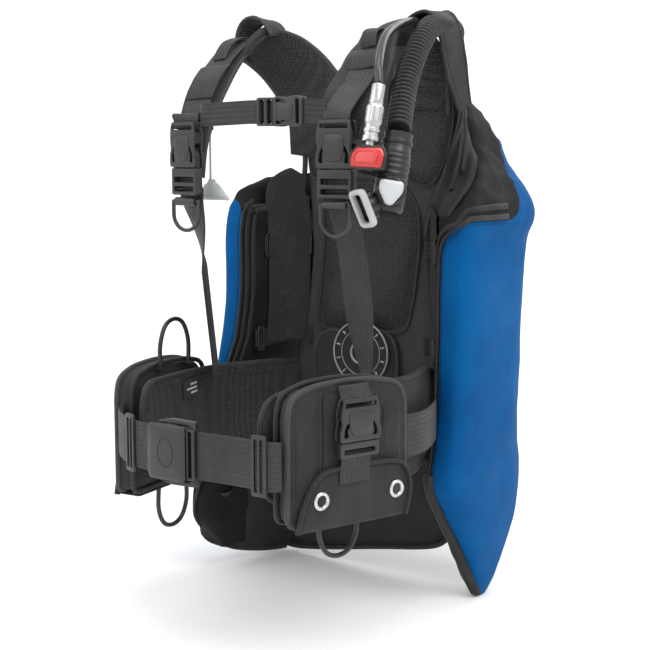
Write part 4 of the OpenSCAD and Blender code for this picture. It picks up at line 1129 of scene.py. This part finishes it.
def build_pocket(side, name):
    local = pocket_frame(side)
    body = f"weight_pouch_{name}"
    face = lambda x, z, h: local(x, 4 - h, z)
    inward = direction(local, (0, 0, 0), (0, 1, 0))
    outline = fillet([(-73, 154), (73, 154), (73, 268), (66, 286), (40, 293), (0, 296), (-44, 293),
                      (-68, 284), (-73, 266)],
                     [10, 10, 16, 14, 20, 30, 20, 14, 16])
    shell = pillow(f"pocket_shell_{name}", outline, face, 3.6, 24, NYLON, rings=14, crown=(14, 0.4),
                   rough=1.2, size=26, step=5)
    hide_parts(f"pocket_{name}")
    ring = np.array([face(x, z, 0.5) for x, z in dense(outline, 5)])
    tube(f"pocket_piping_{name}", np.vstack([ring, ring[:2]]), 3.2, BINDING, flat=0.95, across=inward,
         sides=12)
    rear = np.array([face(x, z, -20) for x, z in dense(outline, 5)])
    tube(f"pocket_rear_piping_{name}", np.vstack([rear, rear[:2]]), 2.8, BINDING_DARK, across=inward,
         sides=10)
    # raised middle panel with the pleats beside it
    middle = fillet([(-34, 196), (36, 196), (36, 284), (-34, 284)], 5)
    pillow(f"pocket_middle_{name}", middle, lambda x, z, h: local(x, 0.6 - h, z), 2.4, 1, NYLON, rings=8,
           crown=(12, 0.45),
           rough=0.5, step=5)
    for x in (-37, -30, 39, 32):
        seam = np.array([local(x, -1.8, z) for z in np.linspace(192, 288, 20)])
        stitches(f"pocket_seam_{name}_{x}", seam, BINDING, across=inward)
    for k, (x0, x1) in enumerate(((-66, -40), (42, 66))):
        fold = fillet([(x0, 168), (x1, 168), (x1, 278), (x0, 270)], 5)
        pillow(f"pocket_pleat_{name}_{k}", fold, lambda x, z, h: local(x, 1.4 - h, z), 2.6, 1, NYLON_DARK,
               rings=8,
               crown=(5, 0.6), rough=1.0, size=16, step=5)
    # half-moon flap with a bound lip
    arc = [tuple(q) for q in smooth([(-66, 148), (-59, 174), (-46, 197), (-30, 207), (12, 209), (54, 207),
                                     (69, 198), (75, 176), (69, 148)], 5)]
    moon = np.array(arc)
    flap = pillow(f"pouch_flap_{name}", moon, lambda x, z, h: local(x, -2.8 - h, z), 2.0, 2.0, NYLON, body,
                  rings=10,
                  crown=(16, 0.4), rough=0.4, step=4)
    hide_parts(f"pouch_{name}")
    tube(f"pouch_flap_lip_{name}", even([local(x, -4.2, z) for x, z in arc], 4), 3.6, NYLON, body, flat=0.7,
         across=inward, sides=12)
    stitches(f"pouch_flap_thread_{name}", np.array([local(x * 0.93, -5.2, 132 + (z - 132) * 0.93) for x,
                                                    z in arc[2:-2]]), BINDING, body,
             across=inward)
    lower = fillet([(-64, 146), (64, 146), (60, 153), (-60, 153)], 3)
    pillow(f"pouch_base_{name}", [(-64, -3), (64, -3), (64, 24), (-64, 24)], lambda x, y,
           h: local(x, y, 149 - h), 2, 3, NYLON, body,
           rings=8, crown=(12, 0.4), step=5)
    inner = fillet([(-62, 152), (62, 152), (62, 282), (-62, 282)], 10)
    pillow(f"pouch_bag_{name}", inner, lambda x, z, h: local(x, 14 - h, z), 8, 8, NYLON_DARK, body, rings=8,
           crown=(8, 0.4), step=8)
    for k, (x, z) in enumerate(((-38, 178), (57, 177))):
        eye = lathe(f"grommet_{name}_{k}", [(4.8, -1), (5.2, 4.6), (6.4, 5.9), (8.2, 6.1), (9.4, 5.2),
                                            (9.5, 4.0), (9.5, -0.4)],
                    turned(local(x, -0.7, z), direction(local, (0, 0, 0), (1, 0, 0)), UP, -inward), CHROME,
                    body, 36)
        if k == 0:
            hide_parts(f"flap_grommets_{name}")
        lathe(f"grommet_hole_{name}_{k}", [(4.7, 3.6), (4.7, 4.2)],
                     turned(local(x, -0.7, z), direction(local, (0, 0, 0), (1, 0, 0)), UP, -inward),
                     PLASTIC_DARK, body, 24)
    x_dir = direction(local, (0, 0, 0), (1, 0, 0))
    f, m = side_release(f"pocket_buckle_{name}", local(2, -11.4, 236), x_dir, UP, -inward, 50, 40, 12, 38,
                        16, "vest", body)
    if side > 0:
        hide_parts("pocket_buckle_females")
    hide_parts(f"pocket_buckle_male_{name}")
    sweep(f"pocket_strap_{name}", even(smooth([local(2, -3.4, 292), local(2, -6, 284),
                                               local(2, -10.4, 276)], 4), 3), x_dir, 18.5, 1.1,
          FLAT, WEBBING)
    sweep(f"pouch_strap_{name}", even(smooth([local(2, -11.4, 226), local(2, -8.4, 216),
                                              local(2, -6.4, 204), local(2, -5.6, 192)], 4), 3),
          x_dir, 18.5, 1.1, FLAT, WEBBING, body)
    return local


near_pocket = build_pocket(1, "left")
far_pocket = build_pocket(-1, "right")


def elastic_loop(name, local, x, z, w, h, y=33.2):
    route = [(-w / 2, 0), (-w / 2 - 1, h * 0.5), (-w / 3, h * 0.88), (0, h), (w / 3, h * 0.88),
             (w / 2 + 1, h * 0.5), (w / 2, 0)]
    return tube(name, even(smooth([local(x + a, y, z + b) for a, b in route], 6), 3), 2.6, RUBBER, sides=14)


loops = elastic_loop("hanging_loop_near", near_pocket, 10, 154, 46, -50)
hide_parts("bungee_loops")
elastic_loop("hanging_loop_far", far_pocket, -10, 154, 54, -50)
elastic_loop("standing_loop_far", far_pocket, -2, 287, 54, 58)

# ---------------------------------------------------------------- wing straps
for s, side in ((-1, "far"), (1, "near")):
    for k, z in enumerate((409, 296)):
        x = 118.5 if s > 0 else 119.5 + 1.5 * k
        path = even(smooth([(s * x, -44 - 18 * k * (s < 0), z), (s * x, -20, z), (s * (x - 2), 2, z),
                            (s * 104, 10, z), (s * 90, 4, z), (s * 80, -2, z)], 5), 3)
        ob = sweep(f"wing_strap_{side}_{k}", path, UP, 11, 0.9, FLAT, WEBBING_DARK)
        if s < 0 and k == 0:
            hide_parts("compression_straps")
        at_slide = turned((s * x, -38 - 16 * k * (s < 0), z), (0, 1, 0), UP, (-s, 0, 0))
        moulded(f"wing_slide_{side}_{k}",
                               [rect(-6, -15, 6, 15, 2.5), rect(-3.6, -11.6, -1, 11.6, 0.8),
                                                          rect(1, -11.6, 3.6, 11.6, 0.8)],
                               lambda a, b, h, f=at_slide: f(a, b, h + 2.2), 2.6, PLASTIC, bevel=0.9)
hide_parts("steel_hardware")

# ---------------------------------------------------------------- hoses and inflator
HOSE_ROUTE = [(52, 84, 616), (56, 80, 628), (74, 62, 646), (98, 28, 658), (112, -15, 661), (118, -58, 657),
              (125, -98, 632), (132, -132, 598), (141, -158, 566), (147, -173, 546)]


def corrugated():
    fine = even(smooth(HOSE_ROUTE, 8), 0.68)
    pitch = 5.4
    run = np.concatenate([[0], np.cumsum(np.linalg.norm(np.diff(fine, axis=0), axis=1))])
    wave = np.array([math.cos(2 * math.pi * s / pitch) for s in run])
    r = 11.3 + 1.7 * np.sign(wave) * abs(wave) ** 0.6
    keep = min(len(r), len(fine))
    ob = tube("corrugated_hose_ridges", fine, r[:keep], RUBBER, sides=36, across=(1, 0.1, 0))
    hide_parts("corrugated_hose")


corrugated()
lean = math.radians(-16)
INFLATOR = V(148, -181, 519)


def inflator(x, y, z):
    """The inflator's own frame, as in the CAD."""
    return INFLATOR + V(x, y * math.cos(lean) - z * math.sin(lean), y * math.sin(lean) + z * math.cos(lean))


def ribs(z):
    return -0.9 * (0.5 + 0.5 * math.cos(2 * math.pi * z / 6.2)) ** 3


lathe("inflator_cuff", [(12, -2), (15.2, -1.6), (15.6, 0), (15.6, 3), (15.0, 4), (14.8, 9.6), (15.4, 10.2),
                        (15.4, 13.8),
                               (14.8, 14.4), (14.6, 19), (14.9, 20), (14.9, 22), (13.2, 22.6), (12, 22.6)],
                               inflator, RUBBER, n=48)
tie = lathe("hose_tie", [(14.9, 9.9), (15.8, 9.9), (16.0, 10.6), (16.0, 13.4), (15.8, 14.1), (14.9, 14.1)],
            inflator, PLASTIC_DARK, n=48)
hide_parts("hose_clamps")
barrel = lathe("inflator_barrel", [(10, -60.5), (14, -60), (16.2, -57), (16.6, -54)] + [(16.6, -z)
        for z in np.arange(53, 3, -0.8)]
               + [(16.6, -2.6), (15.8, -1), (12, -0.6)], inflator, PLASTIC_DARK, n=56, ripple=lambda a,
               z: ribs(z) if -32 < z < -3 else 0)
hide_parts("inflator_body")
pillow("inflator_housing", fillet([(-22, -25), (4, -25), (4, -1), (-22, -1)], 6), lambda x, z,
       h: inflator(x, -22 - h, z), 15, 20,
                 PLASTIC_DARK, rings=10, crown=(9, 0.35), step=3)
lathe("inflator_nipple_boss", [(9, -26), (10.2, -24), (10.2, -3), (9.4, 0), (5, 0.6)], lambda x, y,
      z: inflator(x - 13, y - 30, z),
               PLASTIC_DARK, n=36)
m = Matrix.Rotation(math.radians(-25), 3, "Z") @ Matrix.Rotation(math.radians(126), 3, "X")


def mouth(x, y, z):
    q = m @ Vector((x, y, z))
    return inflator(q.x - 4, q.y - 8, q.z - 48)


lathe("mouthpiece_tube", [(10.2, 0), (10.6, 4), (10.4, 12), (10.9, 18), (10.6, 20), (7, 20)], mouth,
      PLASTIC_DARK, n=40)
oval_out = fillet([(-12, -20), (12, -20), (12, 20), (-12, 20)], 7)
oval_in = fillet([(-7.4, -15), (7.4, -15), (7.4, 15), (-7.4, 15)], 4)
lip = moulded("mouthpiece_lip", [oval_out, oval_in], lambda x, y, h: mouth(x, y, h + 23.7), 8.0, SILICONE,
              bevel=2.6)
moulded("mouthpiece_neck", [fillet([(-8.5, -15), (8.5, -15), (8.5, 15), (-8.5, 15)], 6), oval_in], lambda x,
        y, h: mouth(x, y, h + 17),
                10, PLASTIC_DARK, bevel=1.0)
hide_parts("mouthpiece")
bevel = [(-19, -9), (18, -10.5), (20, 3), (16, 11), (-15, 11), (-20.5, 3)]
button = pillow("inflate_button_cap", fillet(bevel, 3.0), lambda x, z,
                h: inflator(x - 4, -43.0 - h, z - 15.5), 5.6, 2.4, RED, "inflate_button",
                rings=9, crown=(3.2, 0.55), step=1.8)
rim = np.array([inflator(x * 1.02 - 4, -43.6, z * 1.04 - 15.5) for x, z in dense(fillet(bevel, 3.0), 2)])
tube("inflate_button_rim", np.vstack([rim, rim[:2]]), 1.3, PLASTIC_DARK, "inflate_button",
     across=(0.1, 1, 0.1), sides=8)
face = fillet([(-13, -4.5), (12.5, -5.5), (13.5, 2), (10, 6.5), (-10, 6.5), (-13.5, 2)], 2.0)
tube("inflate_button_face", np.array([inflator(x - 4, -48.2, z - 15.5) for x,
                                      z in list(dense(face, 2)) + list(dense(face, 2)[:2])]), 0.7, RED,
     "inflate_button", across=(0.1, 1, 0.1), sides=8)
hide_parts("inflate_button")
turn = math.radians(34)


def deflate(x, y, z):
    q = V(x, -z, y)
    return inflator(q[0] * math.cos(turn) - q[1] * math.sin(turn),
                    q[0] * math.sin(turn) + q[1] * math.cos(turn), q[2] - 41)


shield = pillow("deflate_button_cap", fillet([(-12, 10), (12, 10), (12.5, -1), (3, -15.5), (-3, -15.5),
                                              (-12.5, -1)], 3.6),
                lambda x, y, h: deflate(x, y, 23.5 + h), 4.6, 2.4, GREY, "deflate_button", rings=9,
                crown=(5, 0.45), step=2)
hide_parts("deflate_button")
lathe("deflate_collar", [(8, 10), (14.6, 10), (15.2, 12), (15.0, 19), (13.4, 20.6), (8, 20.6)], deflate,
      PLASTIC_DARK, n=40)


def knurl(a, z):
    return 0.45 * abs(math.sin(9 * a)) if 24 < z < 41 else 0.0


sleeve_place = lambda x, y, z: inflator(x - 13, y - 30, z)
sleeve = lathe("coupling_sleeve_cap", [(5.2, 4.6), (8.2, 4.6), (9.1, 5.6), (9.1, 10), (7.9, 11),
                                       (7.9, 13.4), (9.0, 14.4), (9.0, 17.4),
                                   (7.9, 18.4), (7.9, 22), (8.6, 23.4)] + [(8.7, z)
                                           for z in np.arange(24, 41, 1.0)]
               + [(8.6, 41.4), (7.6, 42.6), (7.3, 42.6)], sleeve_place, CHROME, "coupling_sleeve", n=72,
               ripple=knurl)
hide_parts("lp_sleeve")
lathe("hose_ferrule", [(7.0, 43.2), (7.4, 44), (7.4, 47), (6.4, 48), (6.4, 50), (6.9, 51), (6.9, 63),
                       (6.2, 64.2), (4.4, 64.4)],
                sleeve_place, CHROME, n=40)

# ---------------------------------------------------------------- carried-over CAD nodes
KEPT = {"backplate": PLASTIC_DARK, "tank_grip_pads": RUBBER, "tank_band": WEBBING_DARK,
        "cam_frame": PLASTIC_DARK, "cam_lever": PLASTIC,
        "carry_handle": WEBBING_DARK, "d_ring_left": PLASTIC, "d_ring_right": PLASTIC,
        "dump_valves": PLASTIC_DARK, "rear_dump_knob": GREY, "hose_elbow": PLASTIC_DARK,
        "lp_nipple": CHROME, "lp_fitting": CHROME}
for key, mat in KEPT.items():
    ob = NODES[key]
    ob.data.materials.clear()
    ob.data.materials.append(mat)
    weld = ob.modifiers.new("weld", "WELD")
    weld.merge_threshold = 0.00001
    bev = ob.modifiers.new("bevel", "BEVEL")
    bev.width, bev.segments, bev.limit_method, bev.angle_limit = 0.0007, 2, "ANGLE", math.radians(42)
for key, ob in NODES.items():
    if key not in KEPT and not ob.hide_render:
        print("still shown:", key)
        ob.data.materials.clear()
        ob.data.materials.append(PLASTIC)
